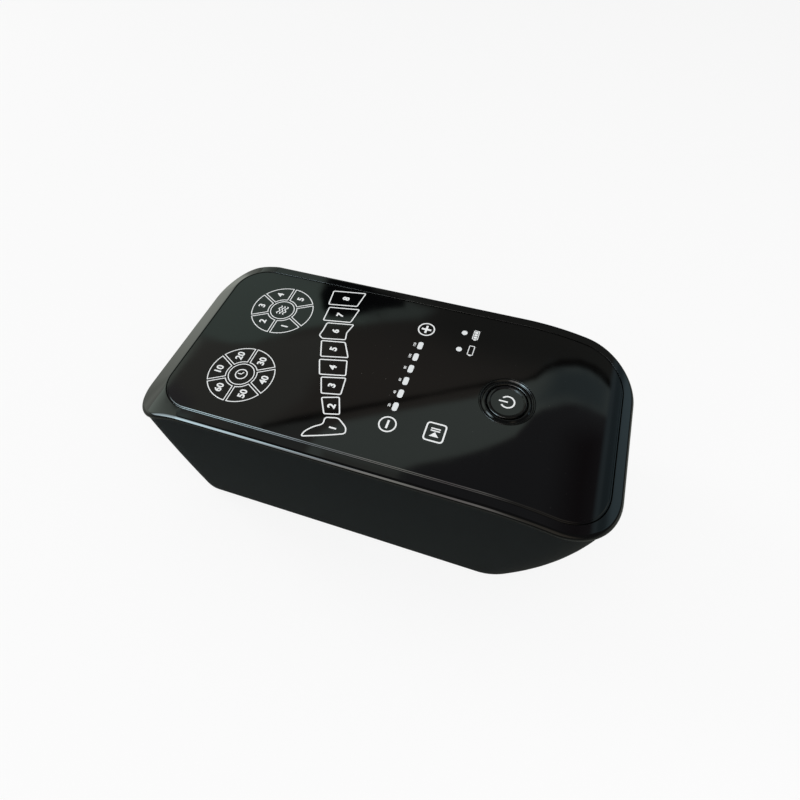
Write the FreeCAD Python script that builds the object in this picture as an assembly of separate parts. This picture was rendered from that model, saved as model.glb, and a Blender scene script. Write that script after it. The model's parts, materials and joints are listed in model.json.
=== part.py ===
import FreeCAD, Part
import math
import os

# Air compression controller for leg sleeves. Millimetres, +Z up, +Y away from the user.
# The origin is on the ground under the middle of the housing.

Vec = FreeCAD.Vector

# ---- Housing -------------------------------------------------------------------------------
length = 259.0               # Y, over the cover's rim
width = 120.0                # X, over the cover's rim
height = 96.5                # ground to the flat top
foot_stand = 2.0             # ground to the tub's underside
rim_radius_user = 31.0       # plan corners of the cover at the user's end
rim_radius_far = 24.0        # and at the far end
rim_fillet = 2.1             # rounded edge all round the cover
rim_depth = 3.0              # the cover's outer edge, below the top line
seam_gap = 0.4               # shadow line between cover and tub

# ---- Top line, seen from the side ----------------------------------------------------------
roll_length = 66.5           # the top rolls down over this length at the user's end
roll_radius = 148.0
slope_run = 19.3             # the far margin slopes down over this length
slope_angle = 38.4           # degrees
fold_radius = 4.0            # between the flat and the slope

# ---- Cover ---------------------------------------------------------------------------------
cover_floor = 2.0            # left under the panel's recess
tongue_wall = 1.4
tongue_height = 5.0          # reaches down inside the tub
tongue_clearance = 0.1

# ---- Control panel -------------------------------------------------------------------------
panel_width = 106.8
panel_margin_user = 7.0      # panel's edge to the cover's rim
panel_margin_far = 20.5
panel_radius_user = 23.7
panel_radius_far = 18.0
panel_thickness = 1.8
panel_gap = 0.35             # groove round the panel
panel_edge = 0.4             # rounded top edges beside the groove

# ---- Tub -----------------------------------------------------------------------------------
tub_step = 1.2               # the tub's wall stands in from the cover's edge
tub_wall = 2.3
tub_floor = 2.5
side_draft = 0.9             # degrees, long sides
sweep_user = 26.0            # the end wall curves in this far at the underside
sweep_far = 7.5
tub_radius_user = 28.0
tub_radius_far = 21.0
tub_bottom_fillet = 3.5
vent_count = 7
vent_width = 2.0
vent_length = 26.0
vent_pitch = 5.0
vent_round = 0.9             # corners of a slot
vent_x = 26.0                # middle of the intake slots, under the main board
vent_y = 20.0                # from the middle of the housing

# ---- Power button --------------------------------------------------------------------------
button_inset = 64.5          # user's end to the middle of the cap
button_radius = 10.4
button_gap = 0.25            # between the cap and its bezel
button_travel = 0.6
button_sink = 0.3            # cap's rim below the panel
button_dish_radius = 8.5
button_dish = 0.5
button_hollow = 0.2          # the dish is this much deeper in its middle
button_edge = 0.6            # rounding of the cap's rim
button_body = 7.0            # height of the cap's guided wall
button_flange = 1.0          # holds the cap under the bezel
bezel_radius = 14.3
bezel_lip = 0.8              # rounded outer edge
bezel_dish = 0.9
bezel_sleeve_wall = 1.75     # round the cap, under the cover
bezel_bead = 1.3             # raised ring beside the cap
bezel_seat_gap = 0.1         # between the bezel and its holes

# ---- Lights --------------------------------------------------------------------------------
light_count = 6
light_pitch = 8.5
light_middle_x = 1.25
light_inset = 117.25         # user's end to the row
light_length = 5.75
light_width = 3.2
light_round = 1.3
battery_light_x = (26.25, 38.75)
battery_light_inset = 96.5
battery_light_radius = 1.8
light_flange = 0.8           # wider foot under the cover
light_flange_height = 1.2

# ---- Display board -------------------------------------------------------------------------
board_depth = 14.0           # flat top to the board's upper face
board_thickness = 1.6
display_width = 88.0
display_user_inset = 55.5    # housing's end to the board's end
display_far_inset = 37.5
display_screw_inset = 4.0
display_boss_radius = 3.0
led_size = 2.0
led_height = 0.8
film_thickness = 0.3
film_width = 98.0
film_user_inset = 79.5
film_far_inset = 31.5
switch_size = 6.0
switch_height = 4.3
plunger_radius = 1.6
plunger_stroke = 0.85        # plunger standing out of the switch
plunger_depth = 2.0          # plunger inside the switch
running_clearance = 0.05

# ---- Case screws and feet ------------------------------------------------------------------
screw_x = 42.0
screw_user_inset = 49.5      # housing's end to the screws
screw_far_inset = 27.5
screw_radius = 1.5
screw_length = 20.0
screw_head_radius = 2.75
screw_head_height = 2.2
boss_radius = 4.6
boss_joint_z = 60.0          # cover bosses meet tub bosses here
boss_web = 8.0               # plastic under the joint, above the counterbore
foot_radius = 6.0
foot_recess = 1.0
foot_edge = 0.8              # rounding of a foot's lower edge
foot_x = 42.0
foot_user_inset = 71.5
foot_far_inset = 45.5

# ---- Battery -------------------------------------------------------------------------------
cell_radius = 9.2
cell_length = 65.0
cell_count = 3
cell_pitch = 19.0
cell_inset = 52.5            # user's end to the middle of the first cell
cell_cap_radius = 3.0
cell_cap = 1.2
cradle_wall = 1.5
cradle_height = 9.0

# ---- Air pump ------------------------------------------------------------------------------
pump_x = -28.0
pump_axis_z = 31.0
motor_radius = 16.0
motor_wall = 1.5
motor_length = 44.0
motor_gap = 2.0              # cradle to the back of the motor
motor_end = 2.5              # thickness of both ends
shaft_radius = 2.0
bush_radius = 4.0
bush_length = 3.5
armature_radius = 10.5
armature_slots = 5
armature_slot_width = 2.2
armature_slot_depth = 4.0
armature_length = 26.0
magnet_thickness = 3.2
magnet_angle = 130.0         # degrees covered by each magnet
crank_width = 34.0
crank_length = 24.0
crank_wall = 3.0
eccentric_radius = 7.0
eccentric_throw = 1.6
eccentric_length = 8.0
eccentric_gap = 1.0          # to the crankcase's wall
rod_ring_wall = 1.4
rod_thickness = 4.0
rod_width = 5.0
diaphragm_thickness = 2.0
dome_radius = 10.0           # air space over the diaphragm
dome_depth = 3.0
head_height = 15.0
nipple_radius = 2.2
nipple_bore = 1.3
nipple_length = 6.0
saddle_width = 26.0
saddle_inset = 2.0           # back of the motor to the saddle
tube_wall = 1.0
sensor_tube_bend = 7.0

# ---- Rotary air distributor ----------------------------------------------------------------
distributor_inset = 49.5     # far end to the back face of the valve body
distributor_z = 48.0
distributor_size = 44.0
distributor_length = 12.0
distributor_motor_radius = 10.5
distributor_motor_length = 18.0
distributor_motor_back = 4.0  # left closed behind the shaft's bore
valve_disc_radius = 17.0
valve_disc_thickness = 5.0
valve_disc_gap = 0.1
valve_shaft_radius = 2.5
valve_cover_thickness = 4.0
outlet_count = 8
outlet_circle = 13.0
bracket_width = 30.0
bracket_leg = 4.0
bracket_rail = 3.0
inlet_offset = 14.0          # inlet nipple from the valve's axis, both ways

# ---- Hose sockets and charging inlet -------------------------------------------------------
socket_x = 26.0
socket_flange_width = 44.0
socket_flange_height = 24.0
socket_flange_radius = 5.0
socket_body_width = 38.0
socket_body_height = 18.0
socket_body_radius = 3.0
socket_proud = 1.5
socket_recess_width = 34.0
socket_recess_height = 14.0
socket_recess_radius = 2.5
socket_recess_depth = 8.0
socket_bore_radius = 1.9
socket_bore_pitch = 8.0
socket_row_pitch = 6.4
socket_rows = 2
socket_columns = 4
socket_back_inset = 13.5     # far end to the back of the sockets
socket_clearance = 0.15
manifold_length = 8.0
manifold_height = 30.0
manifold_width = 92.0
inlet_z = 22.0
inlet_flange_radius = 7.5
inlet_body_radius = 5.5
inlet_proud = 1.0
inlet_bore_radius = 3.2
inlet_bore_depth = 10.0
inlet_pin_radius = 1.0
inlet_pin_length = 5.0
inlet_length = 16.0

# ---- Main board ----------------------------------------------------------------------------
main_x0 = 2.0
main_x1 = 50.0
main_y0 = -15.0
main_y1 = 56.0
main_stand = 8.0             # height of its pillars over the tub's floor
main_screw_inset = 4.0
pillar_radius = 3.0
small_screw_radius = 1.1
small_screw_length = 6.0
small_head_radius = 2.2
small_head_height = 1.4
capacitor_radius = 5.0
capacitor_height = 14.0
capacitor_count = 3
capacitor_shares = (0.2, 0.8)  # first capacitor, as shares of the board's sides
capacitor_step = 0.27        # to the next, as a share
buzzer_radius = 6.0
buzzer_height = 7.0
buzzer_hole_radius = 1.2
buzzer_hole_depth = 2.0
buzzer_shares = (0.75, 0.2)
sensor_size = 9.0
sensor_height = 6.0
sensor_inset = 2.5           # board's far edge to the sensor's nipple
chip_places = [              # shares of the board's sides, then length, width and height
    (0.35, 0.55, 12.0, 12.0, 1.6),
    (0.70, 0.40, 6.0, 5.0, 1.6),
    (0.30, 0.25, 5.0, 5.0, 1.5),
    (0.60, 0.07, 15.0, 5.5, 6.0),
]
ribbon_width = 16.0
ribbon_header_depth = 6.0    # connector on the main board
ribbon_header_height = 4.0
ribbon_header_end = 2.0      # connector past the ribbon's edge
ribbon_thickness = 0.8
ribbon_bow = 5.0
ribbon_inset = 1.5           # display board's edge to the ribbon

# ---- Allowances ----------------------------------------------------------------------------
over = 1.0                   # cutting tools run past a face by this
crown_reach = 8.0            # the top line runs on past both ends of the housing
bite = 0.3                   # shapes to be fused reach into each other by this
screw_clearance = 0.2        # holes that a screw passes through
loose_clearance = 0.3        # counterbores, and cut-outs round a boss or a flange

# ---- Worked out from the sizes above -------------------------------------------------------
top_z = height
user_y = -length / 2
far_y = length / 2
tub_depth = top_z - foot_stand
floor_z = foot_stand + tub_floor
cover_skin = panel_thickness + cover_floor
roll_y = user_y + roll_length
fold_y = far_y - slope_run
board_z = top_z - board_depth
main_z = floor_z + main_stand
button_y = user_y + button_inset
light_y = user_y + light_inset
battery_light_y = user_y + battery_light_inset
display_user_y = user_y + display_user_inset
display_far_y = far_y - display_far_inset
film_user_y = user_y + film_user_inset
film_far_y = far_y - film_far_inset
screw_user_y = user_y + screw_user_inset
screw_far_y = far_y - screw_far_inset
foot_user_y = user_y + foot_user_inset
foot_far_y = far_y - foot_far_inset
distributor_y = far_y - distributor_inset
socket_back_y = far_y - socket_back_inset
cell_z = floor_z + cradle_wall + cell_radius
cell_user_y = user_y + cell_inset
cradle_user_y = cell_user_y - cell_radius - cradle_wall
cradle_far_y = cell_user_y + (cell_count - 1) * cell_pitch + cell_radius + cradle_wall
motor_back_y = cradle_far_y + motor_gap
crank_y = motor_back_y + motor_length
main_top = main_z + board_thickness
head_z = pump_axis_z + crank_width / 2
tube_radius = nipple_radius + tube_wall
inlet_nipple_x = -inlet_offset
inlet_nipple_z = distributor_z + inlet_offset
sensor_nipple_z = distributor_z - inlet_offset
valve_front_y = distributor_y + distributor_length
cover_front_y = valve_front_y + valve_cover_thickness
manifold_back_y = socket_back_y - manifold_length


# ---- Small helpers -------------------------------------------------------------------------
def block(x0, x1, y0, y1, z0, z1):
    """Box between two corners."""
    return Part.makeBox(x1 - x0, y1 - y0, z1 - z0, Vec(x0, y0, z0))


def rod(radius, start, end):
    """Round bar between two points."""
    along = end - start
    return Part.makeCylinder(radius, along.Length, start, along)


def fuse(shapes):
    """One solid from overlapping or touching solids."""
    result = shapes[0]
    for shape in shapes[1:]:
        result = result.fuse(shape)
    return result.removeSplitter()


def cut(shape, tools):
    """The shape less each of the tools."""
    for tool in tools:
        shape = shape.cut(tool)
    return shape


def turned(points, centre, axis):
    """Solid of revolution. Points are (radius, height along the axis) from centre."""
    across = Vec(1, 0, 0)
    corners = [centre + across * r + axis * h for r, h in points]
    face = Part.Face(Part.makePolygon(corners + corners[:1]))
    return face.revolve(centre, axis, 360)


def rounded_outline(x0, x1, y0, y1, r_low, r_high, z=0.0):
    """Plan face with corner radius r_low at y0 and r_high at y1."""
    corners = [
        (x1 - r_low, y0 + r_low, r_low, -90),
        (x1 - r_high, y1 - r_high, r_high, 0),
        (x0 + r_high, y1 - r_high, r_high, 90),
        (x0 + r_low, y0 + r_low, r_low, 180),
    ]
    arcs = []
    for cx, cy, r, start in corners:
        turns = [math.radians(start + step) for step in (0, 45, 90)]
        points = [Vec(cx + r * math.cos(a), cy + r * math.sin(a), z) for a in turns]
        arcs.append(Part.Arc(*points).toShape())
    edges = []
    for number, arc in enumerate(arcs):
        before = arcs[number - 1]
        edges.append(Part.makeLine(before.Vertexes[-1].Point, arc.Vertexes[0].Point))
        edges.append(arc)
    return Part.Face(Part.Wire(edges))


def rounded_bar(centre_x, centre_y, size_x, size_y, radius, z0, z1):
    """Upright bar with a rounded rectangle for its plan."""
    half_x, half_y = size_x / 2, size_y / 2
    face = rounded_outline(
        centre_x - half_x, centre_x + half_x, centre_y - half_y, centre_y + half_y, radius, radius, z0
    )
    return face.extrude(Vec(0, 0, z1 - z0))


def end_bar(centre_x, centre_z, size_x, size_z, radius, y0, y1):
    """The same bar lying along Y."""
    bar = rounded_bar(0, 0, size_x, size_z, radius, 0, y1 - y0)
    bar.rotate(Vec(0, 0, 0), Vec(1, 0, 0), -90)
    bar.translate(Vec(centre_x, y0, centre_z))
    return bar


def rounded_path(points, radius):
    """Wire through the points, with an arc at each one between the first and the last."""
    edges = []
    start = points[0]
    for before, corner, after in zip(points, points[1:], points[2:]):
        way_in = (corner - before).normalize()
        way_out = (after - corner).normalize()
        turn = way_in.getAngle(way_out)
        tangent = radius * math.tan(turn / 2)
        first = corner - way_in * tangent
        last = corner + way_out * tangent
        inward = (way_out - way_in).normalize()
        middle = corner + inward * (radius / math.cos(turn / 2) - radius)
        edges.append(Part.makeLine(start, first))
        edges.append(Part.Arc(first, middle, last).toShape())
        start = last
    edges.append(Part.makeLine(start, points[-1]))
    return Part.Wire(edges)


def tube(path, outer, inner):
    """Round tube along a wire."""
    edge = path.Edges[0]
    start = edge.valueAt(edge.FirstParameter)
    along = edge.tangentAt(edge.FirstParameter)
    pipes = []
    for radius in (outer, inner):
        ring = Part.Wire(Part.makeCircle(radius, start, along))
        pipes.append(path.makePipeShell([ring], True, False))
    return pipes[0].cut(pipes[1])


# ---- Top line and the forms cut from it ----------------------------------------------------
def crown_z(y):
    """Height of the top line at y, for the flat and the roll."""
    past = max(0.0, roll_y - y)
    return top_z - roll_radius + math.sqrt(roll_radius**2 - past**2)


def crown_edges(depth):
    """The top line in the Y-Z plane lowered by depth, from the user's end to the far end."""
    centre = Vec(0, roll_y, top_z - roll_radius)
    last = math.asin((roll_length + crown_reach) / roll_radius)
    roll = [centre + Vec(0, -math.sin(a), math.cos(a)) * roll_radius for a in (last, last / 2, 0)]
    fall = math.radians(slope_angle)
    reach = fold_radius * math.tan(fall / 2)
    fold_centre = Vec(0, fold_y - reach, top_z - fold_radius)
    fold = [fold_centre + Vec(0, math.sin(a), math.cos(a)) * fold_radius for a in (0, fall / 2, fall)]
    run = slope_run + crown_reach
    end = Vec(0, fold_y + run, top_z - run * math.tan(fall))
    edges = [
        Part.Arc(*roll).toShape(),
        Part.makeLine(roll[-1], fold[0]),
        Part.Arc(*fold).toShape(),
        Part.makeLine(fold[-1], end),
    ]
    for edge in edges:
        edge.translate(Vec(0, 0, -depth))
    return edges


def crown_band(upper, lower):
    """Everything between two depths under the top line, wider than the housing."""
    top = crown_edges(upper)
    low = crown_edges(lower)
    ends = [Part.makeLine(top[i].Vertexes[i].Point, low[i].Vertexes[i].Point) for i in (0, -1)]
    face = Part.Face(Part.Wire(Part.__sortEdges__(top + low + ends)))
    face.translate(Vec(-width, 0, 0))
    return face.extrude(Vec(2 * width, 0, 0))


def cover_prism(inset):
    """Upright prism on the cover's plan outline, set in by inset."""
    half = width / 2 - inset
    r_user = max(rim_radius_user - inset, 1.0)
    r_far = max(rim_radius_far - inset, 1.0)
    face = rounded_outline(-half, half, user_y + inset, far_y - inset, r_user, r_far)
    return face.extrude(Vec(0, 0, top_z + over))


def panel_prism(grow):
    """Upright prism on the control panel's plan outline, grown by grow."""
    half = panel_width / 2 + grow
    y0 = user_y + panel_margin_user - grow
    y1 = far_y - panel_margin_far + grow
    face = rounded_outline(-half, half, y0, y1, panel_radius_user + grow, panel_radius_far + grow)
    return face.extrude(Vec(0, 0, top_z + over))


def end_radius(sweep):
    """Radius of an end wall that comes in by sweep over the tub's depth."""
    return (tub_depth**2 + sweep**2) / (2 * sweep)


def far_wall_y(z):
    """Outer face of the tub's far end wall at height z."""
    radius = end_radius(sweep_far)
    return far_y - tub_step - radius + math.sqrt(radius**2 - (top_z - z) ** 2)


def end_arc(sweep, inset, bottom, side):
    """Curved end wall in the Y-Z plane, from the top plane down. side is -1 at the user's end."""
    radius = end_radius(sweep)
    centre_y = side * (length / 2 - tub_step - radius)
    points = []
    for share in (0, 0.5, 1):
        drop = (top_z - bottom) * share
        reach = math.sqrt((radius - inset) ** 2 - drop**2)
        points.append(Vec(0, centre_y + side * reach, top_z - drop))
    return Part.Arc(*points).toShape()


def tub_form(inset, bottom):
    """Solid form of the tub, set in by inset, from the height bottom up to the top plane."""
    user = end_arc(sweep_user, inset, bottom, -1)
    far = end_arc(sweep_far, inset, bottom, 1)
    lid = Part.makeLine(user.Vertexes[0].Point, far.Vertexes[0].Point)
    base = Part.makeLine(user.Vertexes[-1].Point, far.Vertexes[-1].Point)
    side = Part.Face(Part.Wire(Part.__sortEdges__([user, base, far, lid])))
    side.translate(Vec(-width, 0, 0))
    half_top = width / 2 - tub_step - inset
    half_low = half_top - (top_z - bottom) * math.tan(math.radians(side_draft))
    corners = [(-half_top, top_z), (half_top, top_z), (half_low, bottom), (-half_low, bottom)]
    outline = [Vec(x, -length, z) for x, z in corners]
    front = Part.Face(Part.makePolygon(outline + outline[:1]))
    form = side.extrude(Vec(2 * width, 0, 0)).common(front.extrude(Vec(0, 2 * length, 0)))
    return round_tub(form, inset, bottom)


def round_tub(form, inset, bottom):
    """Rounds the upright corners, then the edge of the underside."""
    for side, radius in ((-1, tub_radius_user), (1, tub_radius_far)):
        tall = [e for e in form.Edges if e.BoundBox.ZLength > (top_z - bottom) / 2]
        corners = [e for e in tall if e.CenterOfMass.y * side > length / 4]
        form = form.makeFillet(radius - inset, corners)
    low = [e for e in form.Edges if e.BoundBox.ZMax < bottom + 0.01]
    return form.makeFillet(tub_bottom_fillet - inset / 2, low)


# ---- Cover, panel and tub ------------------------------------------------------------------
def upper_rim(shape, half):
    """The edges round the rim of a plate that lie on the top line. half is half its width."""
    found = []
    for edge in shape.Edges:
        middle = edge.valueAt((edge.FirstParameter + edge.LastParameter) / 2)
        straight_across = edge.BoundBox.XLength > 2 * half - 0.01
        if abs(middle.z - top_line(middle.y)) < 0.02 and not straight_across:
            found.append(edge)
    return found


def top_line(y):
    """Height of the top line at any y, with the far slope."""
    fall = math.radians(slope_angle)
    reach = fold_radius * math.tan(fall / 2)
    along = y - (fold_y - reach)
    if along <= 0:
        return crown_z(y)
    if along < fold_radius * math.sin(fall):
        return top_z - fold_radius + math.sqrt(fold_radius**2 - along**2)
    return top_z - (y - fold_y) * math.tan(fall)


def boss_spots():
    """Plan positions of the four case screws."""
    return [(side * screw_x, y) for y in (screw_user_y, screw_far_y) for side in (-1, 1)]


def light_spots():
    """Plan positions of the pressure lights."""
    middle = (light_count - 1) / 2
    return [(light_middle_x + (i - middle) * light_pitch, light_y) for i in range(light_count)]


def display_screw_spots():
    """Plan positions of the display board's screws."""
    x = display_width / 2 - display_screw_inset
    ends = (display_user_y + display_screw_inset, display_far_y - display_screw_inset)
    return [(side * x, y) for y in ends for side in (-1, 1)]


def light_openings(low, high):
    """Tools for the holes that the light guides stand in."""
    tools = []
    for x, y in light_spots():
        tools.append(rounded_bar(x, y, light_length, light_width, light_round, low, high))
    for x in battery_light_x:
        low_end = Vec(x, battery_light_y, low)
        tools.append(rod(battery_light_radius, low_end, low_end + Vec(0, 0, high - low)))
    return tools


def bezel_hole(radius):
    """Tool for a round hole at the power button."""
    grown = radius + bezel_seat_gap
    return rod(grown, Vec(0, button_y, board_z), Vec(0, button_y, top_z + over))


def bezel_sleeve_radius():
    """Outside of the bezel's sleeve."""
    return button_radius + button_gap + bezel_sleeve_wall


def top_cover():
    """Upper shell: rim, recess for the panel, tongue, screw bosses."""
    slab = crown_band(0, rim_depth).common(cover_prism(0))
    slab = slab.makeFillet(rim_fillet, upper_rim(slab, width / 2))
    plug_inset = tub_wall + tongue_clearance
    plug = tub_form(plug_inset, floor_z).common(crown_band(rim_fillet + bite, cover_skin))
    ring = tub_form(plug_inset, floor_z).cut(tub_form(plug_inset + tongue_wall, floor_z))
    tongue = ring.common(crown_band(rim_depth - bite, rim_depth + seam_gap + tongue_height))
    shapes = [slab, plug, tongue]
    for x, y in boss_spots():
        shapes.append(rod(boss_radius, Vec(x, y, boss_joint_z), Vec(x, y, crown_z(y) - rim_depth)))
    for x, y in display_screw_spots():
        shapes.append(rod(display_boss_radius, Vec(x, y, board_z), Vec(x, y, crown_z(y) - rim_depth)))
    cover = fuse(shapes)
    tools = [panel_prism(panel_gap).common(crown_band(-over, panel_thickness))]
    tools += light_openings(board_z, top_z)
    tools.append(bezel_hole(bezel_sleeve_radius()))
    for x, y in boss_spots():
        depth = screw_length - boss_web + over
        tools.append(rod(screw_radius, Vec(x, y, boss_joint_z), Vec(x, y, boss_joint_z + depth)))
    for x, y in display_screw_spots():
        depth = small_screw_length - board_thickness + over
        tools.append(rod(small_screw_radius, Vec(x, y, board_z), Vec(x, y, board_z + depth)))
    return cut(cover, tools)


def control_panel():
    """Gloss plate in the cover's recess. It follows the roll at the user's end."""
    plate = crown_band(0, panel_thickness).common(panel_prism(0))
    plate = plate.makeFillet(panel_edge, upper_rim(plate, panel_width / 2))
    return cut(plate, light_openings(top_z - cover_skin, top_z + over) + [bezel_hole(bezel_radius)])


def vent_slots():
    """Tools for the row of intake slots in the tub's floor."""
    slots = []
    for i in range(vent_count):
        y = vent_y + (i - (vent_count - 1) / 2) * vent_pitch
        slots.append(rounded_bar(vent_x, y, vent_length, vent_width, vent_round, 0, floor_z + over))
    return slots


def end_wall_holes():
    """Tools for the holes that the hose sockets and the charging inlet stand in."""
    holes = []
    hole_width = socket_body_width + 2 * socket_clearance
    hole_height = socket_body_height + 2 * socket_clearance
    for side in (-1, 1):
        x, z = socket_centre(side)
        holes.append(end_bar(x, z, hole_width, hole_height, socket_body_radius, socket_back_y, far_y))
    inlet_back = Vec(0, socket_back_y, inlet_z)
    holes.append(rod(inlet_body_radius + socket_clearance, inlet_back, Vec(0, far_y, inlet_z)))
    return holes


def lower_housing():
    """Deep tub with its screw bosses, board pillars and intake slots."""
    tub = tub_form(0, foot_stand).cut(tub_form(tub_wall, floor_z))
    tub = tub.cut(crown_band(-height, rim_depth + seam_gap))
    shapes = [tub]
    for x, y in boss_spots():
        shapes.append(rod(boss_radius, Vec(x, y, foot_stand + tub_floor / 2), Vec(x, y, boss_joint_z)))
    for x, y in main_screw_spots():
        shapes.append(rod(pillar_radius, Vec(x, y, floor_z - tub_floor / 2), Vec(x, y, main_z)))
    tools = vent_slots() + end_wall_holes()
    for x, y in boss_spots():
        tools.append(rod(screw_radius + screw_clearance, Vec(x, y, 0), Vec(x, y, boss_joint_z)))
        seat = Vec(x, y, boss_joint_z - boss_web)
        tools.append(rod(screw_head_radius + loose_clearance, Vec(x, y, 0), seat))
    for x, y in main_screw_spots():
        tools.append(rod(small_screw_radius, Vec(x, y, main_z - small_screw_length), Vec(x, y, main_z)))
    for x, y in foot_spots():
        tools.append(rod(foot_radius, Vec(x, y, 0), Vec(x, y, foot_stand + foot_recess)))
    return cut(fuse(shapes), tools)


# ---- Power button --------------------------------------------------------------------------
def power_bezel():
    """Dished ring round the cap, with the sleeve that guides it. Its top follows the panel."""
    bore = button_radius + button_gap
    sleeve = bezel_sleeve_radius()
    bead = bore + bezel_bead
    section = [
        (bore, -button_body),
        (sleeve, -button_body),
        (sleeve, -panel_thickness),
        (bezel_radius, -panel_thickness),
        (bezel_radius, -bezel_lip / 2),
        (bezel_radius - bezel_lip / 2, 0),
        (bezel_radius - bezel_lip, -bezel_lip / 8),
        (bezel_radius - 2 * bezel_lip, -bezel_dish * 0.75),
        (bead, -bezel_dish),
        (bead - bezel_bead / 3, -bezel_dish / 2),
        (bead - bezel_bead * 2 / 3, -bezel_dish / 3),
        (bore + bezel_bead / 8, -bezel_dish / 2),
        (bore, -bezel_dish),
    ]
    ring = turned(section, Vec(0, button_y, top_z), Vec(0, 0, 1))
    return ring.cut(crown_band(-over, 0))


def power_button():
    """Round cap with a dished face, a retaining flange and a post over the switch."""
    r = button_radius
    low = -(button_body + running_clearance)
    switch_top = -(board_depth - switch_height - plunger_stroke)
    section = [
        (0, switch_top),
        (plunger_radius, switch_top),
        (plunger_radius, low - button_flange),
        (r + bezel_bead, low - button_flange),
        (r + bezel_bead, low),
        (r, low),
        (r, -button_sink - button_edge),
        (r - button_edge / 3, -button_sink - button_edge / 3),
        (r - button_edge, -button_sink),
        (button_dish_radius + button_edge / 2, -button_sink - button_edge / 6),
        (button_dish_radius, -button_sink - button_dish),
        (0, -button_sink - button_dish - button_hollow),
    ]
    return turned(section, Vec(0, button_y, top_z), Vec(0, 0, 1))


def switch_plunger():
    """Moving pin of the switch, under the cap's post."""
    top = board_z + switch_height + plunger_stroke
    return rod(plunger_radius, Vec(0, button_y, top - plunger_stroke - plunger_depth), Vec(0, button_y, top))


def power_switch():
    """Push switch on the display board, bored for its plunger."""
    half = switch_size / 2
    top = board_z + switch_height
    body = block(-half, half, button_y - half, button_y + half, board_z, top)
    low = top - plunger_depth - plunger_stroke
    well = rod(plunger_radius + running_clearance, Vec(0, button_y, low), Vec(0, button_y, top))
    return body.cut(well)


# ---- Lights --------------------------------------------------------------------------------
def pressure_light(x, y):
    """Light guide with rounded ends, flush with the panel."""
    low = board_z + led_height
    under = top_z - cover_skin
    stem = rounded_bar(x, y, light_length, light_width, light_round, low, top_z)
    foot = rounded_bar(x, y, light_length + 2 * light_flange, light_width + 2 * light_flange,
                       light_round + light_flange, under - light_flange_height, under)
    return fuse([stem, foot])


def battery_light(x):
    """Round light guide, flush with the panel."""
    low = board_z + led_height
    under = top_z - cover_skin
    y = battery_light_y
    stem = rod(battery_light_radius, Vec(x, y, low), Vec(x, y, top_z))
    wide = battery_light_radius + light_flange
    return fuse([stem, rod(wide, Vec(x, y, under - light_flange_height), Vec(x, y, under))])


def led_spots():
    """Plan positions of the chips under the light guides."""
    return light_spots() + [(x, battery_light_y) for x in battery_light_x]


def indicator_leds():
    """Light chips on the display board, one under each guide."""
    half = led_size / 2
    top = board_z + led_height
    chips = [block(x - half, x + half, y - half, y + half, board_z, top) for x, y in led_spots()]
    return Part.makeCompound(chips)


# ---- Display board -------------------------------------------------------------------------
def display_board():
    """Board under the panel, on the cover's bosses."""
    half = display_width / 2
    board = block(-half, half, display_user_y, display_far_y, board_z - board_thickness, board_z)
    return cut(board, screw_tools(display_screw_spots(), board_z - board_thickness, board_z))


def screw_tools(spots, low, high):
    """Clearance holes for the small board screws."""
    return [rod(small_screw_radius + screw_clearance, Vec(x, y, low), Vec(x, y, high)) for x, y in spots]


def touch_film():
    """Electrode film for the touch keys, bonded under the cover's floor."""
    half = film_width / 2
    top = top_z - cover_skin
    low = top - film_thickness
    film = block(-half, half, film_user_y, film_far_y, low, top)
    grown = light_flange + loose_clearance
    long_side, short_side = light_length + 2 * grown, light_width + 2 * grown
    tools = []
    for x, y in light_spots():
        tools.append(rounded_bar(x, y, long_side, short_side, light_round + grown, low, top))
    for x in battery_light_x:
        wide = battery_light_radius + grown
        tools.append(rod(wide, Vec(x, battery_light_y, low), Vec(x, battery_light_y, top)))
    for x, y in display_screw_spots() + boss_spots():
        tools.append(rod(boss_radius + loose_clearance, Vec(x, y, low), Vec(x, y, top)))
    return cut(film, tools)


def small_screw(x, y, seat, direction):
    """Board screw. direction is 1 if it is driven upward and -1 if downward."""
    up = Vec(0, 0, direction)
    at = Vec(x, y, seat)
    shank = rod(small_screw_radius, at, at + up * small_screw_length)
    return fuse([shank, rod(small_head_radius, at - up * small_head_height, at)])


def display_screws():
    """Four screws that hold the display board up against the cover."""
    seat = board_z - board_thickness
    return Part.makeCompound([small_screw(x, y, seat, 1) for x, y in display_screw_spots()])


# ---- Screws and feet -----------------------------------------------------------------------
def case_screws():
    """Four long screws from below, through the tub's bosses into the cover's."""
    screws = []
    for x, y in boss_spots():
        seat = Vec(x, y, boss_joint_z - boss_web)
        shank = rod(screw_radius, seat, seat + Vec(0, 0, screw_length))
        screws.append(fuse([shank, rod(screw_head_radius, seat - Vec(0, 0, screw_head_height), seat)]))
    return Part.makeCompound(screws)


def foot_spots():
    """Plan positions of the four feet."""
    return [(side * foot_x, y) for y in (foot_user_y, foot_far_y) for side in (-1, 1)]


def foot(x, y):
    """Rubber foot pressed into its recess, with a rounded lower edge."""
    top = foot_stand + foot_recess
    pad = rod(foot_radius, Vec(x, y, 0), Vec(x, y, top))
    lower_edge = [edge for edge in pad.Edges if edge.BoundBox.ZMax < 0.01]
    return pad.makeFillet(foot_edge, lower_edge)


# ---- Battery -------------------------------------------------------------------------------
def cell_y(number):
    """Middle of a cell, counted from the user's end."""
    return cell_user_y + number * cell_pitch


def battery_cell(number):
    """Round cell lying across the housing, with its raised cap."""
    start = -cell_length / 2
    y = cell_y(number)
    shoulder = Vec(start + cell_length - cell_cap, y, cell_z)
    body = rod(cell_radius, Vec(start, y, cell_z), shoulder)
    return fuse([body, rod(cell_cap_radius, shoulder, shoulder + Vec(cell_cap, 0, 0))])


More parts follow.
